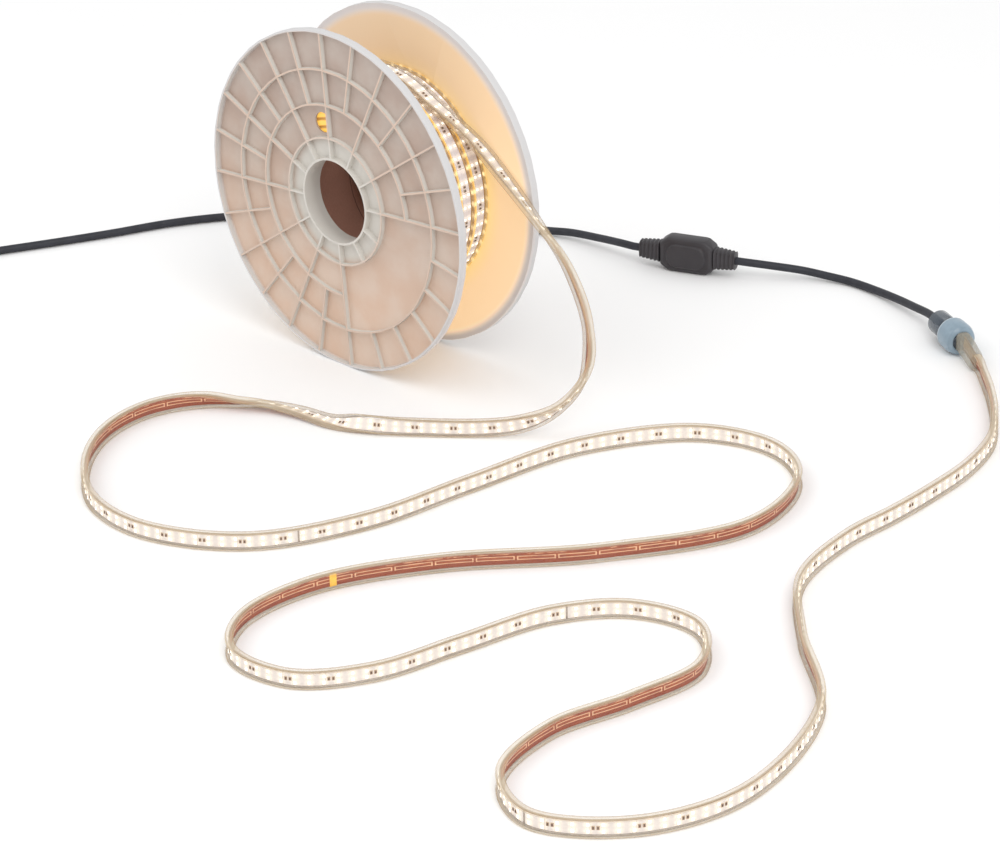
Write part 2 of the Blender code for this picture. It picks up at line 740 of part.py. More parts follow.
def add_coil(finish):
    """The coil of spare lead, as the ring that its two turns fill."""
    whole = LEAD_DIAMETER
    cut = 0.29 * LEAD_DIAMETER
    half = ((whole, cut), (whole, whole - cut), (whole - cut, whole), (cut, whole))
    profile = [(COIL_RADIUS + r, z) for r, z in half]
    profile.append((COIL_RADIUS, whole - cut))
    profile += [(COIL_RADIUS - r, z) for r, z in reversed(half)]
    profile += [(COIL_RADIUS - whole + cut, 0), (COIL_RADIUS - cut, 0), (COIL_RADIUS, cut),
                (COIL_RADIUS + cut, 0), (COIL_RADIUS + whole - cut, 0)]
    coil = add_object("lead_coil", lathe("lead_coil", profile, COIL_STEPS), finish)
    coil.location = (*COIL_AT, FLOOR_CLEAR)


def tail_way():
    return heading(TAIL_LEAVE_ANGLE + 90)


def tail_point(run, height):
    """Point on the straight that the tail takes from the coil to the plug."""
    point = coil_point(COIL_RADIUS, TAIL_LEAVE_ANGLE) + run * tail_way()
    point.z = height
    return point


def add_tail(finish):
    """The lead's end, up on the coil's two turns and then down to the plug's neck."""
    high = FLOOR_CLEAR + LEAD_DIAMETER + GAP + LEAD_RADIUS
    low = FLOOR_CLEAR + PLUG_HEIGHT / 2
    arc = []
    for i in range(TAIL_STEPS + 1):
        angle = TAIL_FROM_ANGLE + (TAIL_LEAVE_ANGLE - TAIL_FROM_ANGLE) * i / TAIL_STEPS
        point = coil_point(COIL_RADIUS, angle)
        arc.append((point.x, point.y, high))
    crossing = sqrt((COIL_RADIUS + LEAD_DIAMETER) ** 2 - (COIL_RADIUS - LEAD_RADIUS) ** 2)
    arc.append(tail_point(crossing, high))
    end = [tail_point(TAIL_RUN - more, low) for more in (STRAIGHT_END, 0)]
    add_lead("plug_tail", cord_points(arc, [], end), finish)


def add_plug(body_finish, pin_finish):
    """A flat two-pin plug beside the coil, at the end of the tail."""
    start = tail_point(TAIL_RUN + GAP, FLOOR_CLEAR + PLUG_HEIGHT / 2)
    way = TAIL_LEAVE_ANGLE + 90
    neck = 2 * PLUG_NECK_RADIUS
    flat = PLUG_NECK_LENGTH + PLUG_LENGTH
    shape = ((0, 0.8 * neck, 0.8 * neck), (0.5 * PLUG_NECK_LENGTH, neck, neck),
             (PLUG_NECK_LENGTH, 1.3 * neck, PLUG_HEIGHT),
             (PLUG_NECK_LENGTH + 0.45 * PLUG_LENGTH, PLUG_WIDTH, PLUG_HEIGHT),
             (flat - 0.05 * PLUG_LENGTH, PLUG_WIDTH, PLUG_HEIGHT),
             (flat, 0.92 * PLUG_WIDTH, 0.92 * PLUG_HEIGHT))
    sections = []
    for along, width, height in shape:
        outline = rounded_rectangle(width, height, 0.45 * min(width, height), 3)
        sections.append([(along, u, v) for u, v in outline])
    add_along("plug_body", loft("plug_body", sections), body_finish, start, way)
    for name, sign in (("plug_pin_left", 1), ("plug_pin_right", -1)):
        place = start + (flat + GAP) * heading(way) + sign * PIN_SPACING / 2 * heading(way + 90)
        rounding = 0.3 * PIN_RADIUS
        sections = []
        for along, radius in ((0, PIN_RADIUS), (PIN_LENGTH - rounding, PIN_RADIUS),
                              (PIN_LENGTH, PIN_RADIUS - rounding)):
            sections.append([(along, radius * cos(2 * pi * i / 12), radius * sin(2 * pi * i / 12))
                             for i in range(12)])
        add_along(name, loft(name, sections), pin_finish, place, way)


def main():
    clear_scene()
    plastic = material("reel_plastic", (0.72, 0.68, 0.64), 0.45)
    board = material("tube_board", (0.13, 0.06, 0.04), 0.85)
    strip = material("strip_sleeve", (0.93, 0.78, 0.50), 0.25)
    clear = material("connector_clear", (0.62, 0.64, 0.60), 0.20)
    blue = material("nut_blue", (0.45, 0.58, 0.68), 0.30)
    black = material("lead_black", (0.045, 0.043, 0.048), 0.50)
    nickel = material("pin_nickel", (0.75, 0.74, 0.70), 0.25, metallic=1.0)

    flange = flange_mesh()
    add_flange("front_flange", flange, plastic, -1)
    add_flange("rear_flange", flange.copy(), plastic, 1)
    add_tube(board)
    add_winding(strip)
    add_strip(strip)

    add_connector(clear, blue)
    collar_floor = NUT_LENGTH / 2 + COLLAR_LENGTH + 2 * GAP - COLLAR_CAVITY
    leaving = [connector_point(-collar_floor - more) for more in (0, COLLAR_CAVITY)]
    relief_end = BOX_LENGTH / 2 + RELIEF_LENGTH + 2 * GAP
    arriving = [box_point(-relief_end - more) for more in (STRAIGHT_END, 0)]
    add_lead("short_lead", cord_points(leaving, SHORT_LEAD_ROUTE, arriving), black)
    add_rectifier(black)

    leaving = [box_point(relief_end + more) for more in (0, STRAIGHT_END)]
    touch = coil_point(COIL_RADIUS + LEAD_RADIUS, COIL_ENTRY_ANGLE)
    touch.z = LEAD_RADIUS + FLOOR_CLEAR
    way = heading(COIL_ENTRY_ANGLE + 90)
    arriving = [touch - (free_run(2 * GAP) + more) * way for more in (STRAIGHT_END, 0)]
    add_lead("supply_lead", cord_points(leaving, SUPPLY_LEAD_ROUTE, arriving), black)
    add_coil(black)
    add_tail(black)
    add_plug(black, nickel)


main()
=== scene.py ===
"""Looks of a rope light on its reel: lit strip wound and run out, ribbed reel, connector,
mains lead with rectifier, coil and plug.

Metres, +Z up. The reel's axis lies along Y over the origin, and the floor is at z = 0.
"""
from math import cos, hypot, pi, radians, sin, sqrt

import bpy
from mathutils import Matrix, Vector


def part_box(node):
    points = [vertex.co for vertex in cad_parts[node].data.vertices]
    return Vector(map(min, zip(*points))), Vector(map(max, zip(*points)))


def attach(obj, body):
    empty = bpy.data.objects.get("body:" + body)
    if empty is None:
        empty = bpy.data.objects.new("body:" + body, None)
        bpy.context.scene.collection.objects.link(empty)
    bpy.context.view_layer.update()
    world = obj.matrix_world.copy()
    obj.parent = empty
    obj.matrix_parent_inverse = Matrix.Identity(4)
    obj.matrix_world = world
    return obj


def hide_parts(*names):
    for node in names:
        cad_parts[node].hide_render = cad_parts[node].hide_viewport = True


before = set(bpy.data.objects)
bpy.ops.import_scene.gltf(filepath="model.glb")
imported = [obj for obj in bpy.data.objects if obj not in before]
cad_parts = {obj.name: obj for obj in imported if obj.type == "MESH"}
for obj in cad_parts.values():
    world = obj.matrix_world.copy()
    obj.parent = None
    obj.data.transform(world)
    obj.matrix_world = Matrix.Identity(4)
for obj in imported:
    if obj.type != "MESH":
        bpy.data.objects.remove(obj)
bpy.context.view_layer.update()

bl_info = {
    "name": "Rope light on a reel",
    "version": (1, 0, 0),
    "blender": (4, 5, 0),
    "location": "3D View > Sidebar > Rope light",
    "description": "Dresses the rope light, its reel and its mains lead",
    "category": "Object",
}

# Shared: gap between fitted pieces, clearance over the floor, reach within which points merge
GAP = 0.0003
FLOOR_CLEAR = 0.0001
MERGE = 0.00002
SMALL_EDGE = 0.0003
SPLINE_STEPS = 16
BLACK = (0.0, 0.0, 0.0)

# Reel
AXIS_Z = sum(corner[2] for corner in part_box("core_tube")) / 2
REEL_RADIUS = 0.158
REEL_WIDTH = 0.098
FLANGE_DEPTH = 0.0075
FLANGE_INNER = REEL_WIDTH / 2 - FLANGE_DEPTH
WEB_THICKNESS = 0.002
TUBE_RADIUS = 0.059
PLY_RISE = 0.0075
PLY_PITCH = 0.0471

# Strip and winding
STRIP_WIDTH = 0.016
STRIP_THICKNESS = 0.0075
STRIP_CORNER = 0.0015
LAYERS = 6
TURN_GROOVE = 0.0012
WINDING_WIDTH = REEL_WIDTH - 2 * FLANGE_DEPTH - 2 * GAP
LANES = int(WINDING_WIDTH // STRIP_WIDTH)
LANE_PITCH = WINDING_WIDTH / LANES
LAST_LANE = (LANES - 1) / 2 * LANE_PITCH
LEAVE_AT = (LANES - 2) * LANE_PITCH - LAST_LANE
WINDING_BORE = TUBE_RADIUS + GAP
WINDING_RADIUS = WINDING_BORE + LAYERS * STRIP_THICKNESS
OUTER_TURN = WINDING_RADIUS - STRIP_THICKNESS / 2
LOWER_TOP = WINDING_RADIUS - STRIP_THICKNESS - 0.0002
LANE_VALLEY = 0.0022
LANE_EDGE = 0.001
LANE_SWAY = 0.0002
TURN_SINK = 0.0002
TURN_SAG = 0.0003
LEAVE_ANGLE = 60.0
STRIP_START_ANGLE = 100.0
LAYER_START_ANGLE = 250.0
LAYER_CLIMB = 8.0
WRAP_STEPS = 6
TURN_STEPS = 150
LAST_TURN_STEPS = 60
STRIP_STEP = 0.0045

# What lies in the sleeve
LIGHTS_IN_GROUP = 3
LIGHT_SIZE = (0.0028, 0.0030, 0.0007)
RESISTOR_SIZE = (0.0013, 0.0023, 0.0005)
RESISTOR_SPREAD = 0.00175
FIRST_LIGHT_FROM = 0.004
LAST_LIGHT_CLEAR = 0.001
LENS_FROM = 0.00075
CUT_BEFORE_PAIR = 0.0042
WIRE_RADIUS = 0.0006
BORDER_START = 0.76
TAPE_AT = 2.1787
TAPE_REACH = 0.0030
BOARD_JOINTS = (1.197, 2.642, 3.116)
JOINT_REACH = 0.0007
BAND_RISE = 0.0003
BAND_OVERLAP = 0.0004

# Connector, rectifier, coil and plug
NUT_RADIUS = 0.015
NUT_LENGTH = 0.021
LIP_RADIUS = 0.0006
LIP_INSET = 0.0007
LIP_SINK = 0.0004
COLLAR_LENGTH = 0.0265
COLLAR_CAVITY = 0.014
CONTACT_BLOCKS = ((0.0035, 0.006, 0.0080), (0.0095, 0.004, 0.0066))
HOOD_LENGTH = 0.0325
HOOD_DROP = 0.006
HOOD_SIDE = 0.0015
HOOD_STRIP_FROM = 0.12
HOOD_STRIP_TO = 0.98
HOOD_STRIP_STEPS = 8
HOOD_CORE = (0.0005, 0.0052)
HOOD_WIRE_RADIUS = 0.0008
HOOD_WIRE_SPREAD = 0.0064
CONNECTOR_AT = (0.3964, 0.3394)
CONNECTOR_HEADING = 154.8
LEAD_DIAMETER = 0.0075
LEAD_RADIUS = LEAD_DIAMETER / 2
LEAD_STEP = 0.004
BOX_LENGTH = 0.054
BOX_WIDTH = 0.034
RELIEF_LENGTH = 0.020
RELIEF_END = BOX_LENGTH / 2 + RELIEF_LENGTH + 2 * GAP
BOX_AT = (0.0940, 0.3143)
BOX_HEADING = 202.0
COIL_RADIUS = 0.0394
COIL_AT = (-0.4177, -0.1784)
COIL_ENTRY_ANGLE = 153.0
COIL_RUN_IN = 0.030
COIL_STEP = 12
COIL_TURNS = 2
INWARD_FROM, INWARD_OVER = 270, 90
OUTWARD_FROM, OUTWARD_OVER = 640, 80
TAIL_LEAVE_ANGLE = 225.0
TAIL_RUN = 0.060
PLUG_HEIGHT = 0.0137
PLUG_LENGTH = 0.036
PLUG_NECK_LENGTH = 0.026
PIN_SLEEVE = 0.0100
STRAIGHT_END = 0.006

# Stage
FLOOR_AT = -0.0002
CAMERA_AT = (2.5463, -2.4015, 1.6025)
CAMERA_TURN = (64.334, 1.1265, 44.369)

# The free strip in the air: x, y, z and lean of its lit side in degrees
AIR_ROUTE = (
    (0.0632, 0.0171, 0.2469, 90), (0.0772, 0.0198, 0.2387, 89), (0.1010, 0.0300, 0.2165, 85),
    (0.1380, 0.0318, 0.1880, 70), (0.1740, 0.0290, 0.1630, 50), (0.2180, 0.0220, 0.1330, 19),
    (0.2520, 0.0100, 0.0920, -4), (0.2630, -0.0060, 0.0560, -49), (0.2520, -0.0260, 0.0290, -50),
    (0.2240, -0.0520, 0.0120, -8),
)

# The free strip on the floor: x, y and lean while it turns over, and x, y where it stands
TURNING_ROUTE = (
    (0.151, -0.113, 4), (0.118, -0.134, 35), (0.088, -0.144, 85), (0.053, -0.150, 102),
    (0.023, -0.161, 117), (0.003, -0.177, 134), (-0.019, -0.193, 160), (-0.037, -0.217, 178),
)
STANDING_ROUTE = (
    (-0.045, -0.250), (-0.036, -0.297), (0.000, -0.350), (0.060, -0.392), (0.130, -0.397),
    (0.209, -0.352), (0.254, -0.260), (0.269, -0.155), (0.288, -0.040), (0.345, 0.047),
    (0.414, 0.068), (0.470, 0.036), (0.496, -0.055), (0.437, -0.172), (0.350, -0.277),
    (0.304, -0.370), (0.305, -0.448), (0.343, -0.493), (0.404, -0.488), (0.444, -0.437),
    (0.462, -0.360), (0.482, -0.276), (0.523, -0.226), (0.582, -0.215), (0.627, -0.262),
    (0.622, -0.335), (0.607, -0.409), (0.628, -0.485), (0.685, -0.514), (0.749, -0.470),
    (0.778, -0.385), (0.738, -0.250), (0.652, -0.171), (0.590, -0.100), (0.570, -0.020),
    (0.570, 0.041), (0.568, 0.089), (0.561, 0.150), (0.544, 0.202), (0.517, 0.241),
)
FLOOR_ROUTE = (*TURNING_ROUTE, *((x, y, 180) for x, y in STANDING_ROUTE))

# The free strip's rise into the connector: x, y, z and lean
RISE_ROUTE = ((0.4860, 0.2750, 0.0082, 180), (0.4560, 0.3025, 0.0086, 180))

# The lead from the connector to the rectifier, and from there to the coil: x, y, z
SHORT_LEAD_ROUTE = (
    (0.3436, 0.3642, 0.0138), (0.3210, 0.3723, 0.0109), (0.2946, 0.3809, 0.0078),
    (0.2614, 0.3883, 0.0048), (0.2303, 0.3891, 0.0042), (0.2066, 0.3814, 0.0060),
    (0.1874, 0.3706, 0.0092), (0.1654, 0.3514, 0.0138),
)
SUPPLY_LEAD_ROUTE = (
    (0.0250, 0.2935, 0.0158), (-0.0050, 0.2950, 0.0118), (-0.0390, 0.2939, 0.0078),
    (-0.0660, 0.2865, 0.0048), (-0.0900, 0.2790, 0.0039), (-0.1330, 0.2640, 0.0039),
    (-0.2050, 0.2230, 0.0039), (-0.2710, 0.1680, 0.0039), (-0.3250, 0.1030, 0.0039),
    (-0.3525, 0.0575, 0.0039), (-0.3750, 0.0050, 0.0039), (-0.3970, -0.0420, 0.0039),
    (-0.4200, -0.0880, 0.0039),
)


# Curves

def spline_value(values, knots, t):
    """Value at t of the curve through four values at their knots."""
    row = list(values)
    for level in (1, 2, 3):
        low = 0 if level < 3 else 1
        span = level if level < 3 else 1
        row = [((knots[i + low + span] - t) * p + (t - knots[i + low]) * q)
               / (knots[i + low + span] - knots[i + low])
               for i, (p, q) in enumerate(zip(row, row[1:]))]
    return row[0]


def smooth_curve(line):
    """Fine points of a smooth curve through all points of a line but its first and last, which
    only give the curve its way at the ends."""
    fine = []
    for a, b, c, d in zip(line, line[1:], line[2:], line[3:]):
        spans = [max(hypot(*(q - p for p, q in zip(m, n))), 1e-6) ** 0.5
                 for m, n in ((a[:3], b[:3]), (b[:3], c[:3]), (c[:3], d[:3]))]
        knots = [0, spans[0], spans[0] + spans[1], sum(spans)]
        for i in range(SPLINE_STEPS):
            t = knots[1] + spans[1] * i / SPLINE_STEPS
            fine.append([spline_value(values, knots, t) for values in zip(a, b, c, d)])
    fine.append(list(line[-2]))
    return fine


def cord_points(start, route, end):
    """Points of a cord: both ends as given, and a smooth curve through the route between them."""
    middle = smooth_curve([*start[-2:], *route, *end[:2]])
    return [*start[:-1], *middle, *end[1:]]


def evenly(points, step):
    """The same line with a point at every step of its length, and both its ends."""
    runs = [0.0]
    for p, q in zip(points, points[1:]):
        runs.append(runs[-1] + hypot(*(b - a for a, b in zip(p[:3], q[:3]))))
    count = max(2, round(runs[-1] / step))
    even = []
    i = 0
    for k in range(count + 1):
        run = runs[-1] * k / count
        while i < len(runs) - 2 and runs[i + 1] < run:
            i += 1
        share = (run - runs[i]) / max(runs[i + 1] - runs[i], 1e-9)
        even.append([a + (b - a) * share for a, b in zip(points[i], points[i + 1])])
    return even


def heading(angle):
    """Level unit vector at an angle in degrees."""
    return Vector((cos(radians(angle)), sin(radians(angle)), 0))


def connector_point(along, side=0.0, drop=0.0):
    """Point measured from the nut's middle: towards the strip, to the reel's front, and down."""
    way = -heading(CONNECTOR_HEADING)
    across = heading(CONNECTOR_HEADING + 90)
    return (CONNECTOR_AT[0] + way.x * along + across.x * side,
            CONNECTOR_AT[1] + way.y * along + across.y * side, NUT_RADIUS - drop)


def hood_bend(share):
    """How far the hood has moved to the side and down at a share of its length."""
    return HOOD_SIDE * share ** 2, HOOD_DROP * share ** 2 * (3 - 2 * share)


def hood_exit(beyond):
    """Point past the hood's end, on the way that the strip leaves it."""
    end = NUT_LENGTH / 2 + GAP + HOOD_LENGTH
    slope = 2 * HOOD_SIDE / HOOD_LENGTH
    along = beyond / hypot(1, slope)
    return connector_point(end + along, HOOD_SIDE + slope * along, HOOD_DROP)


def box_point(along):
    """Point on the rectifier's axis, measured from its middle towards the mains."""
    way = heading(BOX_HEADING)
    return (BOX_AT[0] + way.x * along, BOX_AT[1] + way.y * along, BOX_WIDTH / 2 + FLOOR_CLEAR)


def coil_point(radius, angle):
    """Point over the floor on a circle about the coil's middle."""
    return Vector((*COIL_AT, 0)) + radius * heading(angle)


def tail_point(run, height):
    """Point on the straight from the coil to the plug."""
    point = coil_point(COIL_RADIUS, TAIL_LEAVE_ANGLE) + run * heading(TAIL_LEAVE_ANGLE + 90)
    point.z = height
    return point


def standing_height(lean):
    """Height of the strip's middle over the floor at a lean from standing on edge."""
    upright = (STRIP_WIDTH / 2 - STRIP_CORNER) * abs(cos(radians(lean)))
    flat = (STRIP_THICKNESS / 2 - STRIP_CORNER) * abs(sin(radians(lean)))
    return upright + flat + STRIP_CORNER + FLOOR_CLEAR


def free_strip_points():
    """The free strip: round the winding, down through the air, over the floor and up."""
    step = (STRIP_START_ANGLE - LEAVE_ANGLE) / WRAP_STEPS
    radius = (WINDING_RADIUS + STRIP_THICKNESS / 2 + GAP) / cos(radians(step / 2))
    wound = []
    for i in range(WRAP_STEPS + 1):
        angle = radians(STRIP_START_ANGLE - i * step)
        wound.append((radius * cos(angle), LEAVE_AT, AXIS_Z + radius * sin(angle), 90))
    floor = [(x, y, standing_height(lean), lean) for x, y, lean in FLOOR_ROUTE]
    end = [(*hood_exit(2 * GAP + more), 180) for more in (STRAIGHT_END, 0)]
    return cord_points(wound, [*AIR_ROUTE, *floor, *RISE_ROUTE], end)


def short_lead_points():
    cavity_floor = NUT_LENGTH / 2 + COLLAR_LENGTH + 2 * GAP - COLLAR_CAVITY
    start = [connector_point(-cavity_floor - more) for more in (0, COLLAR_CAVITY)]
    end = [box_point(-RELIEF_END - more) for more in (STRAIGHT_END, 0)]
    return cord_points(start, SHORT_LEAD_ROUTE, end)


def supply_lead_points():
    """From the rectifier to the coil, twice round it, and over its turns to the plug."""
    start = [box_point(RELIEF_END + more) for more in (0, STRAIGHT_END)]
    low = LEAD_RADIUS + FLOOR_CLEAR
    high = low + LEAD_DIAMETER + GAP
    entry = coil_point(COIL_RADIUS + LEAD_RADIUS, COIL_ENTRY_ANGLE)
    entry.z = low
    turns = []
    turned = 0.0
    while COIL_ENTRY_ANGLE + turned < TAIL_LEAVE_ANGLE + 360 * COIL_TURNS + 0.1:
        inward = eased(turned, INWARD_FROM, INWARD_OVER)
        outward = eased(turned, OUTWARD_FROM, OUTWARD_OVER)
        radius = COIL_RADIUS + LEAD_RADIUS * (1 - 2 * inward + outward)
        point = coil_point(radius, COIL_ENTRY_ANGLE + turned)
        point.z = low + (high - low) * outward
        turns.append(tuple(point))
        turned += COIL_STEP
    crossing = sqrt((COIL_RADIUS + LEAD_DIAMETER) ** 2 - (COIL_RADIUS - LEAD_RADIUS) ** 2)
    plug = FLOOR_CLEAR + PLUG_HEIGHT / 2
    end = [tuple(tail_point(TAIL_RUN - more, plug)) for more in (STRAIGHT_END, 0)]
    arriving = tuple(entry - COIL_RUN_IN * heading(COIL_ENTRY_ANGLE + 90))
    route = [*SUPPLY_LEAD_ROUTE, arriving, *turns, tuple(tail_point(crossing, high))]
    return cord_points(start, route, end)


def eased(value, start, reach):
    """0 up to the start, rising gently to 1 over the reach."""
    share = min(max((value - start) / reach, 0), 1)
    return share * share * (3 - 2 * share)


# Modelling

def deselect():
    for other in list(bpy.context.selected_objects):
        other.select_set(False)


def only(piece):
    """Make a piece the one selected and active object."""
    deselect()
    bpy.context.view_layer.objects.active = piece
    piece.select_set(True)


def edit(piece):
    only(piece)
    bpy.ops.object.mode_set(mode="EDIT")


def leave_edit():
    bpy.ops.object.mode_set(mode="OBJECT")


def apply_modifier(piece, kind, **values):
    modifier = piece.modifiers.new(kind.title(), kind)
    for name, value in values.items():
        setattr(modifier, name, value)
    only(piece)
    bpy.ops.object.modifier_apply(modifier=modifier.name)


def merge_points():
    """Make one of all points that share a place; only in edit mode."""
    bpy.ops.mesh.select_all(action="SELECT")
    bpy.ops.mesh.remove_doubles(threshold=MERGE)


def shade(piece, angle=35):
    """Shade a piece smooth except over edges sharper than the angle."""
    only(piece)
    bpy.ops.object.shade_smooth_by_angle(angle=radians(angle))


def settle(piece):
    """Put the piece's place into its mesh."""
    only(piece)
    bpy.ops.object.transform_apply(location=True, rotation=True, scale=True)


def new_piece(name, mesh):
    piece = bpy.data.objects.new(name, mesh)
    bpy.context.scene.collection.objects.link(piece)
    return piece


def finish_piece(piece, slot, *finishes):
    """Give a piece its materials and its body. The slot is not used."""
    if piece.data.materials:
        piece.data.materials.clear()
    for finish in finishes:
        piece.data.materials.append(finish)
    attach(piece, "root")


def refined_copy(node, name, width, segments=2, angle=30):
    """A copy of a solid with clean faces and softened edges."""
    piece = new_piece(name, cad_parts[node].data.copy())
    only(piece)
    bpy.ops.mesh.customdata_custom_splitnormals_clear()
    edit(piece)
    merge_points()
    bpy.ops.mesh.dissolve_limited(angle_limit=radians(1))
    leave_edit()
    if width:
        apply_modifier(piece, "BEVEL", width=width, segments=segments, limit_method="ANGLE",
                       angle_limit=radians(angle))
    shade(piece)
    return piece


def dress(node, suffix, slot, finish, width, segments=2, angle=30):
    """Put a refined copy of a solid, with its finish, in the solid's place."""
    piece = refined_copy(node, node + suffix, width, segments, angle)
    finish_piece(piece, slot, finish)
    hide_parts(node)


def added(name):
    """The object just added, named, with its place put into its mesh."""
    piece = bpy.context.active_object
    piece.name = name
    settle(piece)
    return piece


def turned(name, profile, steps):
    """Turn a closed profile of (y, radius) points about the reel's axis."""
    mesh = bpy.data.meshes.new(name)
    points = [(0, y, AXIS_Z + radius) for y, radius in profile]
    edges = [(i, (i + 1) % len(points)) for i in range(len(points))]
    mesh.from_pydata(points, edges, [])
    piece = new_piece(name, mesh)
    edit(piece)
    bpy.ops.mesh.select_all(action="SELECT")
    bpy.ops.mesh.spin(steps=steps, angle=2 * pi, center=(0, 0, AXIS_Z), axis=(0, 1, 0))
    merge_points()
    bpy.ops.mesh.normals_make_consistent(inside=False)
    leave_edit()
    shade(piece)
    return piece


def hexagon(half_depth, half_width, middle=0.0):
    """Six points round a wire or a flat core, across the strip from the middle."""
    return [(half_depth * cos(pi * k / 3), middle + half_width * sin(pi * k / 3))
            for k in range(6)]


def rounded_rectangle(width, height, corner, steps):
    """Points (u, v) around a rectangle with round corners, counterclockwise."""
    points = []
    for quarter, (side, up) in enumerate(((1, 1), (-1, 1), (-1, -1), (1, -1))):
        for i in range(steps + 1):
            angle = pi / 2 * (quarter + i / steps)
            points.append((side * (width / 2 - corner) + corner * cos(angle),
                           up * (height / 2 - corner) + corner * sin(angle)))
    return points


class Station:
    """A place along the strip: its way, the way its lights face, and the way across."""

    def __init__(self, place, way, lit, across):
        self.place, self.way, self.lit, self.across = place, way, lit, across

    def matrix(self):
        side = self.lit.cross(self.way)
        turn = Matrix((self.way, side, self.lit)).transposed().to_4x4()
        return Matrix.Translation(self.place) @ turn


def stations_along(points):
    """Stations of points of x, y, z and lean."""
    places = [Vector(point[:3]) for point in points]
    stations = []
    for i, place in enumerate(places):
        way = (places[min(i + 1, len(places) - 1)] - places[max(i - 1, 0)]).normalized()
        up = (Vector((0, 0, 1)) - way * way.z).normalized()
        left = up.cross(way)
        lean = radians(points[i][3])
        lit = left * cos(lean) + up * sin(lean)
        stations.append(Station(place, way, lit, up * cos(lean) - left * sin(lean)))
    return stations


def stations_round(lane, radius, first, last, count, closed):
    """Stations round the reel on a lane; radius and lane are functions of the angle."""
    stations = []
    for i in range(count if closed else count + 1):
        angle = first + (last - first) * i / count
        turn = radians(angle)
        lit = Vector((cos(turn), 0, sin(turn)))
        place = Vector((0, lane(turn), AXIS_Z)) + lit * radius(turn)
        stations.append(Station(place, Vector((-sin(turn), 0, cos(turn))), lit, Vector((0, 1, 0))))
    return stations


def runs_of(stations, closed=False):
    """Length along the strip at each station, and at the first again where it is closed."""
    line = stations + stations[:1] if closed else stations
    runs = [0.0]
    for a, b in zip(line, line[1:]):
        runs.append(runs[-1] + (b.place - a.place).length)
    return runs


def station_at(stations, runs, run):
    """Station between two of a line's stations."""
    low, high = 0, len(runs) - 1
    while high - low > 1:
        middle = (low + high) // 2
        if runs[middle] <= run:
            low = middle
        else:
            high = middle
    a, b = stations[low], stations[high % len(stations)]
    share = (run - runs[low]) / max(runs[high] - runs[low], 1e-9)
    way = a.way.lerp(b.way, share).normalized()
    lit = a.lit.lerp(b.lit, share)
    lit = (lit - way * lit.dot(way)).normalized()
    return Station(a.place.lerp(b.place, share), way, lit, way.cross(lit))


def swept(name, stations, outlines, closed=False):
    """Sweep outlines of (towards the lights, across) points along stations. One UV map holds
    the length along, in metres, and the share of the width across; the other holds the share
    of the strip's thickness."""
    runs = runs_of(stations, closed)
    verts, faces, uvs, depths = [], [], [], []
    for outline in outlines:
        base, sides = len(verts), len(outline)
        verts += [s.place + s.lit * n + s.across * w for s in stations for n, w in outline]
        share = [w / STRIP_WIDTH + 0.5 for n, w in outline]
        deep = [n / STRIP_THICKNESS + 0.5 for n, w in outline]
        for i in range(len(runs) - 1):
            j = (i + 1) % len(stations)
            for a in range(sides):
                b = (a + 1) % sides
                faces.append((base + i * sides + a, base + i * sides + b,
                              base + j * sides + b, base + j * sides + a))
                uvs += [(runs[i], share[a]), (runs[i], share[b]),
                        (runs[i + 1], share[b]), (runs[i + 1], share[a])]
                depths += [deep[a], deep[b], deep[b], deep[a]]
        if not closed:
            last = base + (len(stations) - 1) * sides
            for first, run, order in ((base, runs[0], range(sides)[::-1]),
                                      (last, runs[-1], range(sides))):
                faces.append(tuple(first + a for a in order))
                uvs += [(run, share[a]) for a in order]
                depths += [deep[a] for a in order]
    mesh = bpy.data.meshes.new(name)
    mesh.from_pydata([tuple(v) for v in verts], [], faces)
    for label, pairs in (("along_and_across", uvs), ("through", [(d, 0.5) for d in depths])):
        layer = mesh.uv_layers.new(name=label)
        layer.data.foreach_set("uv", [value for pair in pairs for value in pair])
    piece = new_piece(name, mesh)
    shade(piece, 50)
    return piece


def copies(name, unit, matrices):
    """One piece of a unit's copies, each at its own matrix."""
    source = unit.data
    points = [v.co.copy() for v in source.vertices]
    faces = [(tuple(p.vertices), p.material_index) for p in source.polygons]
    verts, loops, slots = [], [], []
    for matrix in matrices:
        base = len(verts)
        verts += [tuple(matrix @ point) for point in points]
        for corners, index in faces:
            loops.append(tuple(base + corner for corner in corners))
            slots.append(index)
    mesh = bpy.data.meshes.new(name)
    mesh.from_pydata(verts, [], loops)
    mesh.polygons.foreach_set("material_index", slots)
    piece = new_piece(name, mesh)
    bpy.data.objects.remove(unit)
    shade(piece, 40)
    return piece


def capped_box(size, inset, rise):
    """A small part about the origin's top: a box whose top is drawn in and raised."""
    deselect()
    bpy.ops.mesh.primitive_cube_add(size=1, location=(0, 0, size[2] / 2))
    unit = bpy.context.active_object
    unit.scale = size
    settle(unit)
    edit(unit)
    bpy.ops.mesh.select_all(action="DESELECT")
    leave_edit()
    for face in unit.data.polygons:
        face.select = face.normal.z > 0.9
    edit(unit)
    bpy.ops.mesh.select_mode(type="FACE")
    bpy.ops.mesh.inset(thickness=inset)
    bpy.ops.mesh.extrude_region_shrink_fatten(TRANSFORM_OT_shrink_fatten={"value": rise})
    leave_edit()
    return unit


# Materials

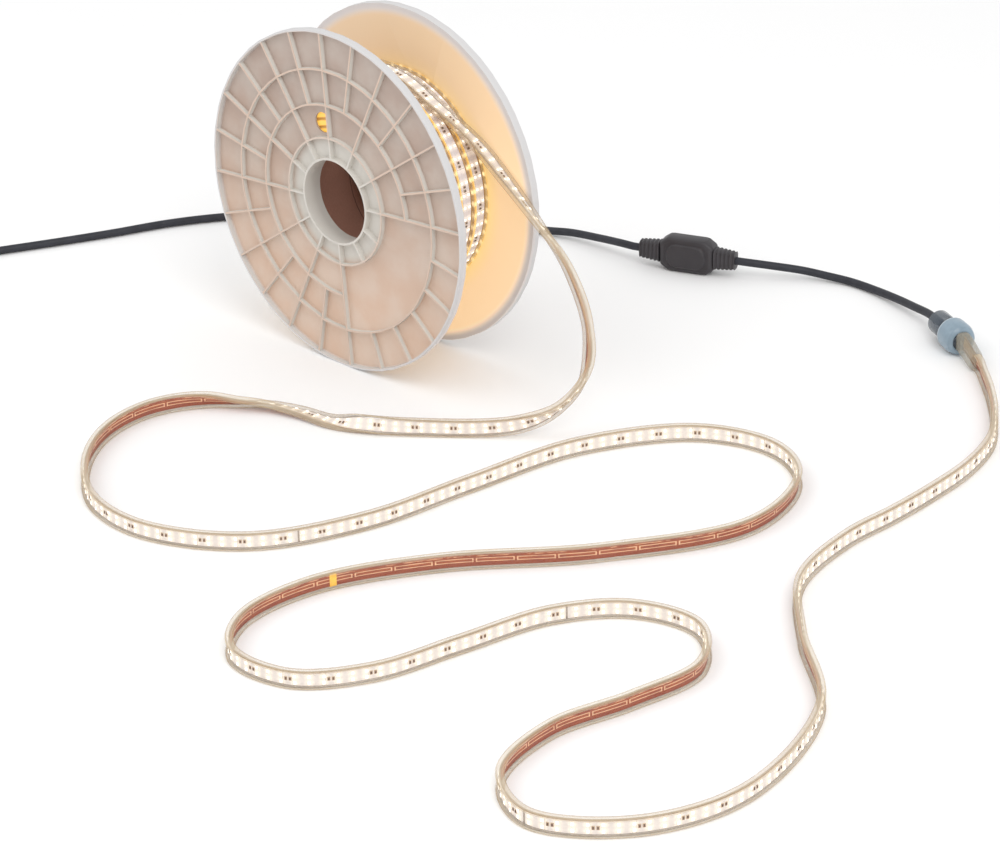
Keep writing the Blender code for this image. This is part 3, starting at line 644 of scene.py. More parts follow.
class Recipe:
    """A material and its nodes. A node's input takes a number, a colour or another's output."""

    def __init__(self, name, tree=None):
        if tree is None:
            self.material = bpy.data.materials.new(name)
            self.material.use_nodes = True
            tree = self.material.node_tree
            self.shader = tree.nodes["Principled BSDF"]
        self.tree = tree
        self.count = 0

    def plug(self, socket, value):
        if isinstance(value, bpy.types.NodeSocket):
            self.tree.links.new(value, socket)
        elif socket.type == "RGBA" and len(value) == 3:
            socket.default_value = (*value, 1)
        else:
            socket.default_value = value

    def node(self, kind, inputs=(), **settings):
        node = self.tree.nodes.new(kind)
        self.count += 1
        node.location = (-1500 + 220 * (self.count // 6), 300 - 180 * (self.count % 6))
        for name, value in settings.items():
            setattr(node, name, value)
        for name, value in dict(inputs).items():
            self.plug(node.inputs[name], value)
        return node

    def math(self, operation, a, b=0.0, clamp=False):
        node = self.node("ShaderNodeMath", operation=operation, use_clamp=clamp)
        self.plug(node.inputs[0], a)
        if operation not in ("ABSOLUTE", "FRACT", "SQRT", "COSINE", "SINE"):
            self.plug(node.inputs[1], b)
        return node.outputs[0]

    def ramp(self, value, low, high, to_low=0.0, to_high=1.0):
        """Value carried smoothly from low..high to to_low..to_high, and held outside."""
        return self.node("ShaderNodeMapRange", {
            "Value": value, "From Min": low, "From Max": high,
            "To Min": to_low, "To Max": to_high}, interpolation_type="SMOOTHSTEP").outputs[0]

    def mix(self, factor, a, b):
        node = self.node("ShaderNodeMix", data_type="RGBA")
        self.plug(node.inputs[0], factor)
        self.plug(node.inputs[6], a)
        self.plug(node.inputs[7], b)
        return node.outputs[2]

    def times(self, *values):
        """Product of two or more values."""
        product = values[0]
        for value in values[1:]:
            product = self.math("MULTIPLY", product, value)
        return product

    def place(self):
        """Place on the object, in metres."""
        return self.node("ShaderNodeTexCoord").outputs["Object"]

    def split(self, vector):
        return self.node("ShaderNodeSeparateXYZ", {"Vector": vector}).outputs

    def along_and_across(self):
        """Length along the strip in metres, and -1 to 1 across it."""
        uv = self.node("ShaderNodeUVMap", uv_map="along_and_across").outputs[0]
        split = self.split(uv)
        across = self.math("MULTIPLY_ADD", split[1], 2.0)
        across.node.inputs[2].default_value = -1.0
        return uv, split[0], across

    def through(self):
        """0 in the middle of the strip's thickness, 1 at its broad faces."""
        deep = self.split(self.node("ShaderNodeUVMap", uv_map="through").outputs[0])[0]
        off = self.math("ABSOLUTE", self.math("SUBTRACT", deep, 0.5))
        return self.times(off, 2.0)

    def seen(self, rest):
        """1 for the camera, and the rest for light that the glow casts on other things."""
        seen = self.node("ShaderNodeLightPath").outputs["Is Camera Ray"]
        return self.ramp(seen, 0.0, 1.0, rest, 1.0)

    def noise(self, vector, scale, detail=3.0, roughness=0.5):
        return self.node("ShaderNodeTexNoise", {
            "Vector": vector, "Scale": scale, "Detail": detail, "Roughness": roughness}).outputs[0]

    def stretch(self, vector, scale):
        return self.node("ShaderNodeMapping", {"Vector": vector, "Scale": scale}).outputs[0]

    def bump(self, height, strength, distance):
        return self.node("ShaderNodeBump", {
            "Height": height, "Strength": strength, "Distance": distance}).outputs[0]

    def near(self, value, middle, half, soft):
        """1 where a value lies within half of the middle, falling to 0 over soft."""
        off = self.math("ABSOLUTE", self.math("SUBTRACT", value, middle))
        return self.ramp(off, half, half + soft, 1.0, 0.0)

    def finish(self, **values):
        for name, value in values.items():
            self.plug(self.shader.inputs[name.replace("_", " ")], value)
        return self.material


def group_tree(name, takes, gives):
    """A shader node group with named inputs, each with its default, and named outputs."""
    tree = bpy.data.node_groups.new(name, "ShaderNodeTree")
    for label, kind, value in takes:
        socket = tree.interface.new_socket(label, in_out="INPUT", socket_type=kind)
        if value is not None:
            socket.default_value = value
    for label, kind in gives:
        tree.interface.new_socket(label, in_out="OUTPUT", socket_type=kind)
    recipe = Recipe(name, tree)
    return recipe, recipe.node("NodeGroupInput"), recipe.node("NodeGroupOutput")


def mottle_group():
    """Cloudy variation and fine grain of moulded plastic, by place."""
    recipe, taken, given = group_tree(
        "moulded mottle",
        [("Place", "NodeSocketVector", None), ("Cloud size", "NodeSocketFloat", 30.0),
         ("Grain size", "NodeSocketFloat", 900.0)],
        [("Cloud", "NodeSocketFloat"), ("Grain", "NodeSocketFloat")])
    place = taken.outputs["Place"]
    cloud = recipe.noise(place, taken.outputs["Cloud size"], 3.0, 0.55)
    grain = recipe.noise(place, taken.outputs["Grain size"], 2.0, 0.6)
    recipe.plug(given.inputs["Cloud"], recipe.ramp(cloud, 0.3, 0.7))
    recipe.plug(given.inputs["Grain"], grain)
    return recipe.tree


def reel_place_group():
    """Distance from the reel's axis and from its middle plane, by place."""
    recipe, taken, given = group_tree(
        "reel place",
        [("Place", "NodeSocketVector", None), ("Axis height", "NodeSocketFloat", AXIS_Z)],
        [("Radius", "NodeSocketFloat"), ("Off middle", "NodeSocketFloat"),
         ("Angle", "NodeSocketFloat")])
    x, y, z = recipe.split(taken.outputs["Place"])
    up = recipe.math("SUBTRACT", z, taken.outputs["Axis height"])
    square = recipe.math("ADD", recipe.times(x, x), recipe.times(up, up))
    recipe.plug(given.inputs["Radius"], recipe.math("SQRT", square))
    recipe.plug(given.inputs["Off middle"], recipe.math("ABSOLUTE", y))
    recipe.plug(given.inputs["Angle"], recipe.math("ARCTAN2", up, x))
    return recipe.tree


def repeat_group():
    """Distance in metres to the nearest of marks that repeat along the strip."""
    recipe, taken, given = group_tree(
        "repeat along",
        [("Along", "NodeSocketFloat", 0.0), ("Pitch", "NodeSocketFloat", 0.0333),
         ("Shift", "NodeSocketFloat", 0.0)],
        [("Distance", "NodeSocketFloat")])
    pitch = taken.outputs["Pitch"]
    moved = recipe.math("ADD", taken.outputs["Along"], taken.outputs["Shift"])
    share = recipe.math("FRACT", recipe.math("ADD", recipe.math("DIVIDE", moved, pitch), 0.5))
    off = recipe.math("ABSOLUTE", recipe.math("SUBTRACT", share, 0.5))
    recipe.plug(given.inputs["Distance"], recipe.times(off, pitch))
    return recipe.tree


GROUPS = {}
GROUP_MAKERS = {"mottle": mottle_group, "reel place": reel_place_group, "repeat": repeat_group}


def grouped(recipe, name, inputs):
    """A shared node group placed in a material, made when it is first asked for."""
    if name not in GROUPS:
        GROUPS[name] = GROUP_MAKERS[name]()
    node = recipe.node("ShaderNodeGroup", node_tree=GROUPS[name])
    for label, value in inputs.items():
        recipe.plug(node.inputs[label], value)
    return node


def mottled(recipe, place, cloud=30.0, grain=900.0):
    node = grouped(recipe, "mottle", {"Place": place, "Cloud size": cloud, "Grain size": grain})
    return node.outputs["Cloud"], node.outputs["Grain"]


def repeat(recipe, along, pitch, shift=0.0):
    node = grouped(recipe, "repeat", {"Along": along, "Pitch": pitch, "Shift": shift})
    return node.outputs["Distance"]


def scaled(colour, share):
    return [min(1.0, c * share) for c in colour]


def reel_plastic(looks):
    """Pale translucent moulding: warm where the winding shines through, cool at the rim."""
    recipe = Recipe("reel plastic")
    place = recipe.place()
    reel = grouped(recipe, "reel place", {"Place": place})
    radius, off, angle = reel.outputs
    cloud, grain = mottled(recipe, place, 26.0, 700.0)
    low = recipe.ramp(recipe.times(recipe.math("SINE", angle), radius),
                      REEL_RADIUS * 0.9, -REEL_RADIUS * 0.9)
    web_level = FLANGE_INNER + WEB_THICKNESS
    sunk = recipe.ramp(off, web_level + 0.0001, web_level + 0.0022, 1.0, 0.0)
    top = recipe.ramp(off, REEL_WIDTH / 2 - 0.0007, REEL_WIDTH / 2 - 0.0003)
    lit_zone = recipe.ramp(radius, 0.050, 0.064)
    # Warm web colours over the winding are painted glow shining through the web; the lower web gets
    # more of it than the upper
    warm = recipe.times(sunk, lit_zone)
    web = recipe.mix(low, looks.web_high, looks.web)
    web = recipe.mix(recipe.times(cloud, 0.35), web, looks.plastic)
    outside = recipe.mix(warm, looks.plastic, web)
    # The rib tops over the winding get a warm colour of painted glow too
    outside = recipe.mix(recipe.times(top, lit_zone), outside, looks.glowing_rib_top)
    edge = recipe.ramp(radius, REEL_RADIUS - 0.0034, REEL_RADIUS - 0.001)
    outside = recipe.mix(edge, outside, looks.rim)
    inside = recipe.times(
        recipe.ramp(off, FLANGE_INNER + 0.0002, FLANGE_INNER + 0.0008, 1.0, 0.0),
        recipe.ramp(radius, REEL_RADIUS - 0.0010, REEL_RADIUS - 0.0004, 1.0, 0.0),
        recipe.ramp(radius, TUBE_RADIUS - 0.001, TUBE_RADIUS))
    outward = recipe.ramp(radius, REEL_RADIUS - 0.012, REEL_RADIUS - 0.004)
    # The inner face's warm colour is painted glow of the winding; near the rim it turns to the
    # plastic's grey
    colour = recipe.mix(inside, outside, recipe.mix(outward, looks.inner, looks.inner_rim))
    turn = recipe.math("COSINE", recipe.math("ADD", angle, radians(50)))
    level = recipe.times(recipe.ramp(turn, -1.0, 1.0, 0.38, 1.12),
                         recipe.ramp(radius, REEL_RADIUS - 0.011, REEL_RADIUS - 0.002, 1.0, 0.0))
    near_glow = recipe.ramp(radius, WINDING_RADIUS - 0.004, WINDING_RADIUS + 0.016, 1.0, 0.0)
    shine = recipe.mix(level, BLACK, recipe.mix(near_glow, looks.glow, looks.near_glow))
    seep = recipe.mix(recipe.times(warm, recipe.ramp(low, 0.2, 1.0)), BLACK, looks.seep)
    return recipe.finish(
        Base_Color=colour, Roughness=recipe.ramp(grain, 0.2, 0.8, 0.38, 0.54),
        Emission_Color=recipe.mix(inside, seep, shine), Emission_Strength=recipe.seen(0.3),
        Normal=recipe.bump(grain, 0.12, 0.0004))


def tube_board():
    """Dark wound board, with the spiral seam of its plies and short fibres."""
    recipe = Recipe("tube board")
    place = recipe.place()
    reel = grouped(recipe, "reel place", {"Place": place})
    helix = recipe.math("MULTIPLY_ADD", reel.outputs["Angle"], PLY_RISE)
    recipe.plug(helix.node.inputs[2], recipe.split(place)[1])
    seam = recipe.near(repeat(recipe, helix, PLY_PITCH), 0.0, 0.0003, 0.0005)
    fibre = recipe.noise(recipe.stretch(place, (1, 3, 1)), 420.0, 4.0, 0.7)
    colour = recipe.mix(fibre, (0.34, 0.165, 0.118), (0.52, 0.270, 0.195))
    colour = recipe.mix(seam, colour, (0.22, 0.105, 0.078))
    height = recipe.math("SUBTRACT", fibre, seam)
    return recipe.finish(Base_Color=colour, Roughness=0.82, Normal=recipe.bump(height, 0.5, 0.0004))


def sleeve(name, looks, edge, glow, body, edge_alpha, band_alpha, beads=None):
    """Clear sleeve: see-through over the board, with honey-coloured bands along its edges.
    On the winding the lights inside also shine out through its narrow sides as beads."""
    recipe = Recipe(name)
    uv, along, across = recipe.along_and_across()
    side = recipe.math("ABSOLUTE", across)
    rim = recipe.times(recipe.ramp(side, 0.84, 0.93), recipe.ramp(recipe.through(), 0.40, 0.66))
    narrow = recipe.ramp(side, 0.96, 0.995)
    streak = recipe.noise(recipe.stretch(uv, (14, 60, 1)), 1.0, 3.0, 0.6)
    cloud = recipe.noise(recipe.stretch(uv, (30, 5, 1)), 1.0, 2.0, 0.5)
    deep = recipe.mix(recipe.ramp(streak, 0.35, 0.65), edge, scaled(edge, 0.7))
    colour = recipe.mix(rim, looks.sleeve_clear, deep)
    border = recipe.ramp(side, BORDER_START, BORDER_START + 0.05)
    colour = recipe.mix(recipe.times(border, recipe.ramp(rim, 0.0, 1.0, 1.0, 0.0)),
                        colour, looks.sleeve_band)
    level = recipe.math(
        "MAXIMUM",
        recipe.times(rim, recipe.ramp(cloud, 0.3, 0.7, edge_alpha * 0.75, edge_alpha)),
        recipe.times(border, recipe.ramp(streak, 0.35, 0.65, band_alpha * 0.6, band_alpha)))
    level = recipe.math("ADD", level, recipe.ramp(narrow, 0.0, 1.0, body, body * 2.0))
    emission = recipe.mix(rim, BLACK, glow)
    if beads is not None:
        column = repeat(recipe, along, looks.light_pitch, looks.light_pitch / 2 - looks.group_shift)
        bead = recipe.times(recipe.ramp(column, 0.0008, 0.0030, 1.0, 0.0),
                            recipe.ramp(side, 0.80, 0.97), recipe.ramp(streak, 0.38, 0.58))
        emission = recipe.mix(bead, emission, beads)
        level = recipe.math("MAXIMUM", level, recipe.times(bead, 0.8))
    return recipe.finish(
        Base_Color=colour, Roughness=0.12, IOR=1.45, Alpha=level,
        Emission_Color=emission, Emission_Strength=1.0, Normal=recipe.bump(streak, 0.08, 0.0003))


def board_front(looks, name, tint, block):
    """Lit face of the board: pale, brighter about the lights, with pads at the resistors."""
    recipe = Recipe(name)
    uv, along, across = recipe.along_and_across()
    group_pitch = LIGHTS_IN_GROUP * looks.light_pitch
    shift = looks.group_shift
    side = recipe.times(recipe.math("ABSOLUTE", across), STRIP_WIDTH / 2)
    column = repeat(recipe, along, looks.light_pitch, looks.light_pitch / 2 - shift)
    row = recipe.math("SUBTRACT", side, looks.light_spread)
    square = recipe.math("ADD", recipe.times(column, column), recipe.times(row, row))
    halo = recipe.ramp(recipe.math("SQRT", square), 0.0012, 0.0052, 1.0, 0.0)
    group = repeat(recipe, along, group_pitch, -shift)
    pads = recipe.times(recipe.near(group, 0.0018, 0.0012, 0.0003),
                        recipe.ramp(side, 0.0016, 0.0020, 1.0, 0.0))
    cuts = repeat(recipe, along, group_pitch, CUT_BEFORE_PAIR - shift)
    cut = recipe.near(cuts, 0.0, 0.00012, 0.0002)
    blocks = recipe.ramp(column, 0.0026, 0.0036, 0.0, 1.0)
    prints = recipe.noise(recipe.stretch(uv, (260, 4, 1)), 1.0, 2.0, 0.5)
    pale = recipe.mix(prints, scaled(tint, 0.93), tint)
    colour = recipe.mix(recipe.times(blocks, 0.6), pale, block)
    colour = recipe.mix(cut, colour, (0.50, 0.44, 0.40))
    colour = recipe.mix(pads, colour, (0.56, 0.40, 0.26))
    glow = recipe.mix(halo, looks.board_dim, looks.board_lit)
    glow = recipe.mix(recipe.math("MAXIMUM", cut, pads), glow, (0.10, 0.08, 0.06))
    return recipe.finish(Base_Color=colour, Roughness=0.5, Emission_Color=glow,
                         Emission_Strength=1.0)


def board_back(looks, name):
    """Copper back of the board, with pale outlines of its tracks."""
    recipe = Recipe(name)
    uv, along, across = recipe.along_and_across()
    group = LIGHTS_IN_GROUP * looks.light_pitch
    tone = recipe.noise(recipe.stretch(uv, (60, 7, 1)), 1.0, 3.0, 0.6)
    bands = recipe.ramp(across, -0.1, 0.25)
    copper = recipe.mix(recipe.ramp(tone, 0.3, 0.7), looks.copper, looks.copper_light)
    copper = recipe.mix(recipe.times(bands, 0.6), copper, looks.copper)
    upper = recipe.near(across, 0.16, 0.028, 0.03)
    lower = recipe.near(across, -0.20, 0.030, 0.03)
    ends = repeat(recipe, along, group, -looks.group_shift)
    broken = recipe.ramp(ends, 0.0009, 0.0014)
    lines = recipe.times(recipe.math("MAXIMUM", upper, lower), broken)
    cross = recipe.times(recipe.near(ends, 0.0015, 0.0004, 0.0004),
                         recipe.ramp(recipe.math("ABSOLUTE", across), 0.20, 0.26, 1.0, 0.0))
    third = recipe.times(recipe.near(across, -0.46, 0.020, 0.03), recipe.ramp(tone, 0.48, 0.56))
    marks = recipe.math("MAXIMUM", recipe.math("MAXIMUM", lines, cross), third)
    marks = recipe.times(marks, recipe.ramp(tone, 0.25, 0.6, 0.45, 1.0))
    colour = recipe.mix(marks, copper, looks.track)
    return recipe.finish(Base_Color=colour, Roughness=0.38, Metallic=0.1,
                         Coat_Weight=0.12, Coat_Roughness=0.2)


def plain(name, colour, roughness, metallic=0.0, glow=None, strength=0.0, cloud=300.0):
    """A small part's finish, varied a little by place."""
    recipe = Recipe(name)
    place = recipe.place()
    tone, grain = mottled(recipe, place, cloud, 4000.0)
    varied = recipe.mix(tone, scaled(colour, 0.82), colour)
    values = {"Base_Color": varied, "Roughness": recipe.ramp(grain, 0.2, 0.8, roughness * 0.85,
                                                             min(1.0, roughness * 1.15)),
              "Metallic": metallic}
    if glow is not None:
        values["Emission_Color"] = glow
        values["Emission_Strength"] = strength
    return recipe.finish(**values)


def winding_glow(looks):
    """The turns under the outer ones: painted amber glow with sparks where lights lie below, and
    dark lines of painted shade between the turns on the winding's flanks."""
    recipe = Recipe("winding glow")
    place = recipe.place()
    reel = grouped(recipe, "reel place", {"Place": place})
    run = recipe.times(reel.outputs["Angle"], WINDING_RADIUS)
    y = recipe.split(place)[1]
    flat = recipe.node("ShaderNodeCombineXYZ", {"X": run, "Y": y}).outputs[0]
    cells = recipe.node("ShaderNodeTexVoronoi", {"Vector": flat, "Scale": 190.0}).outputs[0]
    spark = recipe.ramp(cells, 0.10, 0.34, 1.0, 0.0)
    tone = recipe.noise(recipe.stretch(flat, (1, 5, 1)), 120.0, 3.0, 0.6)
    amber = recipe.mix(recipe.ramp(tone, 0.3, 0.7), looks.amber_deep, looks.amber)
    glow = recipe.mix(spark, amber, (1.0, 0.82, 0.46))
    turn = recipe.math("SUBTRACT", reel.outputs["Radius"], WINDING_BORE)
    between = repeat(recipe, turn, STRIP_THICKNESS)
    flank = recipe.ramp(reel.outputs["Off middle"], LAST_LANE + STRIP_WIDTH / 2 - 0.0016,
                        LAST_LANE + STRIP_WIDTH / 2 - 0.0010)
    stripes = recipe.mix(recipe.ramp(between, 0.0006, 0.0022), (0.22, 0.07, 0.008),
                         looks.flank)
    glow = recipe.mix(flank, glow, stripes)
    # The amber base colour is painted glow of the lit turns as well
    return recipe.finish(Base_Color=(0.46, 0.30, 0.10), Roughness=0.35, Emission_Color=glow,
                         Emission_Strength=recipe.seen(0.3))


def lead_sheath(looks):
    """Dark grey sheath with a faint flow along it."""
    recipe = Recipe("lead sheath")
    place = recipe.place()
    cloud, grain = mottled(recipe, place, 90.0, 1600.0)
    colour = recipe.mix(cloud, looks.sheath, scaled(looks.sheath, 1.35))
    return recipe.finish(
        Base_Color=colour, Roughness=recipe.ramp(grain, 0.2, 0.8, 0.42, 0.58),
        Specular_IOR_Level=0.3, Normal=recipe.bump(grain, 0.15, 0.0003))


def moulded_black(looks):
    """The rectifier's and plug's moulding: a little smoother than the sheath, lighter on its sharp
    edges.
    """
    recipe = Recipe("moulded black")
    place = recipe.place()
    cloud, grain = mottled(recipe, place, 60.0, 2200.0)
    point = recipe.node("ShaderNodeNewGeometry").outputs["Pointiness"]
    # Lighter on sharp edges, found by pointiness
    sharp_edges = recipe.ramp(point, 0.50, 0.56)
    colour = recipe.mix(cloud, looks.moulding, scaled(looks.moulding, 1.2))
    colour = recipe.mix(recipe.times(sharp_edges, 0.4), colour, (0.09, 0.088, 0.095))
    return recipe.finish(
        Base_Color=colour, Roughness=recipe.ramp(grain, 0.2, 0.8, 0.34, 0.50),
        Specular_IOR_Level=0.35, Normal=recipe.bump(grain, 0.10, 0.0002))


def clear_moulding(name, colour, alpha, roughness=0.12):
    """Clear or milky moulding with faint flow clouds, denser where it is seen aslant."""
    recipe = Recipe(name)
    place = recipe.place()
    cloud = mottled(recipe, place, 90.0, 900.0)[0]
    facing = recipe.node("ShaderNodeLayerWeight", {"Blend": 0.4}).outputs["Facing"]
    level = recipe.math("ADD", recipe.ramp(cloud, 0.0, 1.0, alpha * 0.95, alpha * 1.05),
                        recipe.times(facing, 0.35), clamp=True)
    varied = recipe.mix(cloud, scaled(colour, 0.94), colour)
    return recipe.finish(Base_Color=varied, Roughness=roughness, IOR=1.5, Alpha=level,
                         Normal=recipe.bump(cloud, 0.05, 0.0004))


def pin_metal():
    """Nickelled pin with a black sleeve on the half towards the plug."""
    recipe = Recipe("pin metal")
    place = recipe.place()
    way = heading(TAIL_LEAVE_ANGLE + 90)
    root = tail_point(TAIL_RUN + 2 * GAP + PLUG_NECK_LENGTH + PLUG_LENGTH, 0)
    away = recipe.node("ShaderNodeVectorMath", {0: place, 1: tuple(root)}, operation="SUBTRACT")
    run = recipe.node("ShaderNodeVectorMath", {0: away.outputs[0], 1: tuple(way)},
                      operation="DOT_PRODUCT").outputs["Value"]
    bare = recipe.ramp(run, PIN_SLEEVE, PIN_SLEEVE + 0.0002)
    brushed = recipe.noise(place, 2500.0, 2.0, 0.5)
    metal = recipe.mix(brushed, (0.62, 0.61, 0.57), (0.80, 0.79, 0.75))
    return recipe.finish(
        Base_Color=recipe.mix(bare, (0.02, 0.02, 0.022), metal), Metallic=bare,
        Roughness=recipe.ramp(brushed, 0.3, 0.7, 0.2, 0.34))


def floor_paint(colour):
    """Plain pale floor."""
    recipe = Recipe("floor paint")
    place = recipe.place()
    tone = recipe.noise(place, 3.0, 2.0, 0.5)
    return recipe.finish(Base_Color=recipe.mix(tone, scaled(colour, 0.985), colour),
                         Roughness=0.85)


# Settings

def colour_setting(name, description, default):
    return bpy.props.FloatVectorProperty(name=name, description=description, default=default,
                                         subtype="COLOR", min=0.0, max=1.0)


def size_setting(name, description, default):
    return bpy.props.FloatProperty(name=name, description=description, default=default,
                                   unit="LENGTH", subtype="DISTANCE", min=0.0)


class ReelLooks(bpy.types.PropertyGroup):
    """Finish of the reel."""
    plastic: colour_setting("Plastic", "Sides of the ribs and hub", (0.62, 0.59, 0.54))
    # Rib tops, web, high web and inner face hold painted glow of the winding in their colours;
    # glow, near glow and seep are painted glow
    glowing_rib_top: colour_setting("Rib tops", "Tops of the ribs", (0.62, 0.48, 0.39))
    web: colour_setting("Web", "Web between the ribs", (0.555, 0.40, 0.305))
    web_high: colour_setting("High web", "Web in the upper part", (0.42, 0.32, 0.27))
    rim: colour_setting("Rim", "Edge of the flange", (0.62, 0.61, 0.61))
    inner: colour_setting("Inner face", "Side towards the winding", (0.58, 0.44, 0.31))
    inner_rim: colour_setting("Inner rim", "Inner face near its rim", (0.62, 0.59, 0.59))
    glow: colour_setting("Glow", "Light on the inner face", (0.52, 0.36, 0.19))
    near_glow: colour_setting("Near glow", "Light beside the winding", (0.54, 0.37, 0.10))
    seep: colour_setting("Seep", "Light through the web", (0.09, 0.055, 0.035))
    edge_round: size_setting("Edge rounding", "Rounding of ribs and rim", 0.00035)


class StripLooks(bpy.types.PropertyGroup):
    """Build and finish of the strip."""
    light_pitch: size_setting("Light pitch", "Distance between columns of lights", 0.01123)
    group_shift: size_setting("Group shift", "From the strip's start to a resistor pair", 0.0047)
    light_spread: size_setting("Light spread", "From the middle to each row of lights", 0.0028)
    board_width: size_setting("Board width", "Width of the board in the sleeve", 0.0108)
    board_thickness: size_setting("Board thickness", "Thickness of the board", 0.0008)
    wire_spread: size_setting("Wire spread", "From the middle to each main wire", 0.0065)
    sleeve_clear: colour_setting("Sleeve", "Broad faces of the sleeve", (0.90, 0.87, 0.83))
    sleeve_edge: colour_setting("Sleeve edge", "Edges of the sleeve", (0.50, 0.38, 0.24))
    sleeve_band: colour_setting("Sleeve band", "Sleeve beside the board", (0.64, 0.52, 0.36))
    # The sleeve's edge colour on the winding: the tan edge with painted glow of the lit turns
    glowing_edge: colour_setting("Glowing edge", "Edges of the wound sleeve", (0.76, 0.50, 0.17))
    board_free: colour_setting("Board", "Lit side of the free strip", (0.70, 0.63, 0.56))
    # Wound board and wound mask: the board's colours on the winding, with painted light of the lit
    # turns
    board_wound: colour_setting("Wound board", "Lit side on the reel", (0.70, 0.66, 0.68))
    block_free: colour_setting("Solder mask", "Between the lights", (0.66, 0.60, 0.57))
    block_wound: colour_setting("Wound mask", "Between wound lights", (0.60, 0.56, 0.60))
    board_lit: colour_setting("Lit board", "Glow about the lights", (0.42, 0.37, 0.30))
    board_dim: colour_setting("Dim board", "Glow between the lights", (0.17, 0.15, 0.13))
    copper: colour_setting("Copper", "Back of the board", (0.29, 0.046, 0.012))
    copper_light: colour_setting("Light copper", "Back of the board, lighter", (0.48, 0.110, 0.024))
    track: colour_setting("Track", "Pale outlines on the back", (0.92, 0.56, 0.32))
    tape: colour_setting("Tape", "Tape over a joint of the board", (0.90, 0.52, 0.07))
    amber: colour_setting("Amber", "Light among the turns", (0.78, 0.48, 0.11))
    amber_deep: colour_setting("Deep amber", "Light deep among the turns", (0.46, 0.21, 0.03))
    flank: colour_setting("Flank", "Light on the winding's sides", (0.80, 0.42, 0.04))


class LeadLooks(bpy.types.PropertyGroup):
    """Finish of the lead, connector, rectifier and plug."""
    sheath: colour_setting("Sheath", "Lead", (0.026, 0.027, 0.034))
    moulding: colour_setting("Moulding", "Rectifier and plug", (0.032, 0.028, 0.031))
    nut: colour_setting("Nut", "Locking nut", (0.26, 0.345, 0.415))
    hood: colour_setting("Hood", "Strip's end hood", (0.46, 0.43, 0.35))
    collar: colour_setting("Collar", "Lead's collar", (0.070, 0.090, 0.115))


class StageLooks(bpy.types.PropertyGroup):
    """Floor, lights and camera."""
    floor: colour_setting("Floor", "Floor paint", (0.95, 0.95, 0.95))
    key_power: bpy.props.FloatProperty(name="Key", description="Power of the key light in watts",
                                       default=38.0, min=0.0)
    world_strength: bpy.props.FloatProperty(name="Surround", description="Light from all round",
                                            default=0.86, min=0.0)
    lens: bpy.props.FloatProperty(name="Lens", description="Focal length in millimetres",
                                  default=152.36, unit="CAMERA", min=1.0)


# Pieces

def seats(stations, runs, looks, shifts, sides, first):
    """Places on top of the board, at the shifts from each resistor pair and on each side."""
    group = LIGHTS_IN_GROUP * looks.light_pitch
    found = []
    index = -1
    while index * group + looks.group_shift <= runs[-1]:
        for shift in shifts:
            run = index * group + looks.group_shift + shift
            if first < run < runs[-1] - LAST_LIGHT_CLEAR:
                matrix = station_at(stations, runs, run).matrix()
                found += [matrix @ Matrix.Translation((0, side, looks.board_thickness / 2))
                          for side in sides]
        index += 1
    return found


def strip_set(prefix, stations, closed, looks, finishes, first=0.0):
    """Board, wires, lights and resistors inside a length of sleeve. Lights and resistors start
    past the first length along it."""
    half_width = looks.board_width / 2
    top = looks.board_thickness / 2
    outline = [(top, -half_width), (top, half_width), (-top, half_width), (-top, -half_width)]
    board = swept(prefix + "_board", stations, [outline], closed)
    for i, face in enumerate(board.data.polygons):
        face.material_index = 0 if i % 4 == 0 else 1
    wires = swept(prefix + "_wires", stations,
                  [hexagon(WIRE_RADIUS, WIRE_RADIUS, side * looks.wire_spread)
                   for side in (-1, 1)], closed)
    runs = runs_of(stations, closed)
    columns = [(k + 0.5) * looks.light_pitch for k in range(LIGHTS_IN_GROUP)]
    rows = (-looks.light_spread, looks.light_spread)
    light = capped_box(LIGHT_SIZE, 0.0004, 0.0003)
    for face in light.data.polygons:
        face.material_index = 1 if face.center.z > LENS_FROM else 0
    lights = copies(prefix + "_lights", light,
                    seats(stations, runs, looks, columns, rows, first))
    resistor = capped_box(RESISTOR_SIZE, 0.0002, 0.0001)
    for face in resistor.data.polygons:
        face.material_index = 1 if abs(face.normal.y) > 0.9 else 0
    pair = (-RESISTOR_SPREAD, RESISTOR_SPREAD)
    resistors = copies(prefix + "_resistors", resistor,
                       seats(stations, runs, looks, pair, (0,), first))
    parts = ((board, "front", "back"), (wires, "wire"), (lights, "frame", "light"),
             (resistors, "resistor", "solder"))
    for piece, *kinds in parts:
        finish_piece(piece, "strip_sleeve", *(finishes[kind] for kind in kinds))
    return [piece for piece, *kinds in parts]


def strip_finishes(looks, wound):
    """Materials of the parts in the sleeve, warmer on the winding, where their colours hold painted
    light of the lit turns.
    """
    key = "wound" if wound else "free"
    if key not in FINISHES:
        tint = looks.board_wound if wound else looks.board_free
        block = looks.block_wound if wound else looks.block_free
        # The golden wire on the winding is painted glow of the lit turns
        wire = (0.60, 0.36, 0.12) if wound else (0.55, 0.48, 0.40)
        name = key + " "
        FINISHES[key] = {
            "front": board_front(looks, name + "board front", tint, block),
            "back": board_back(looks, name + "board back"),
            "wire": plain(name + "wire", wire, 0.35, 0.3),
            "frame": plain(name + "light frame", (0.80, 0.76, 0.72), 0.4,
                           glow=(0.30, 0.25, 0.19), strength=1.0),
            "light": plain(name + "light", (0.9, 0.86, 0.75), 0.4,
                           glow=(1.0, 0.93, 0.80), strength=1.3),
            "resistor": plain(name + "resistor", (0.09, 0.05, 0.036) if wound
                              else (0.15, 0.07, 0.042), 0.4),
            "solder": plain(name + "solder", (0.70, 0.66, 0.60), 0.3, 0.9),
        }
    return FINISHES[key]


FINISHES = {}


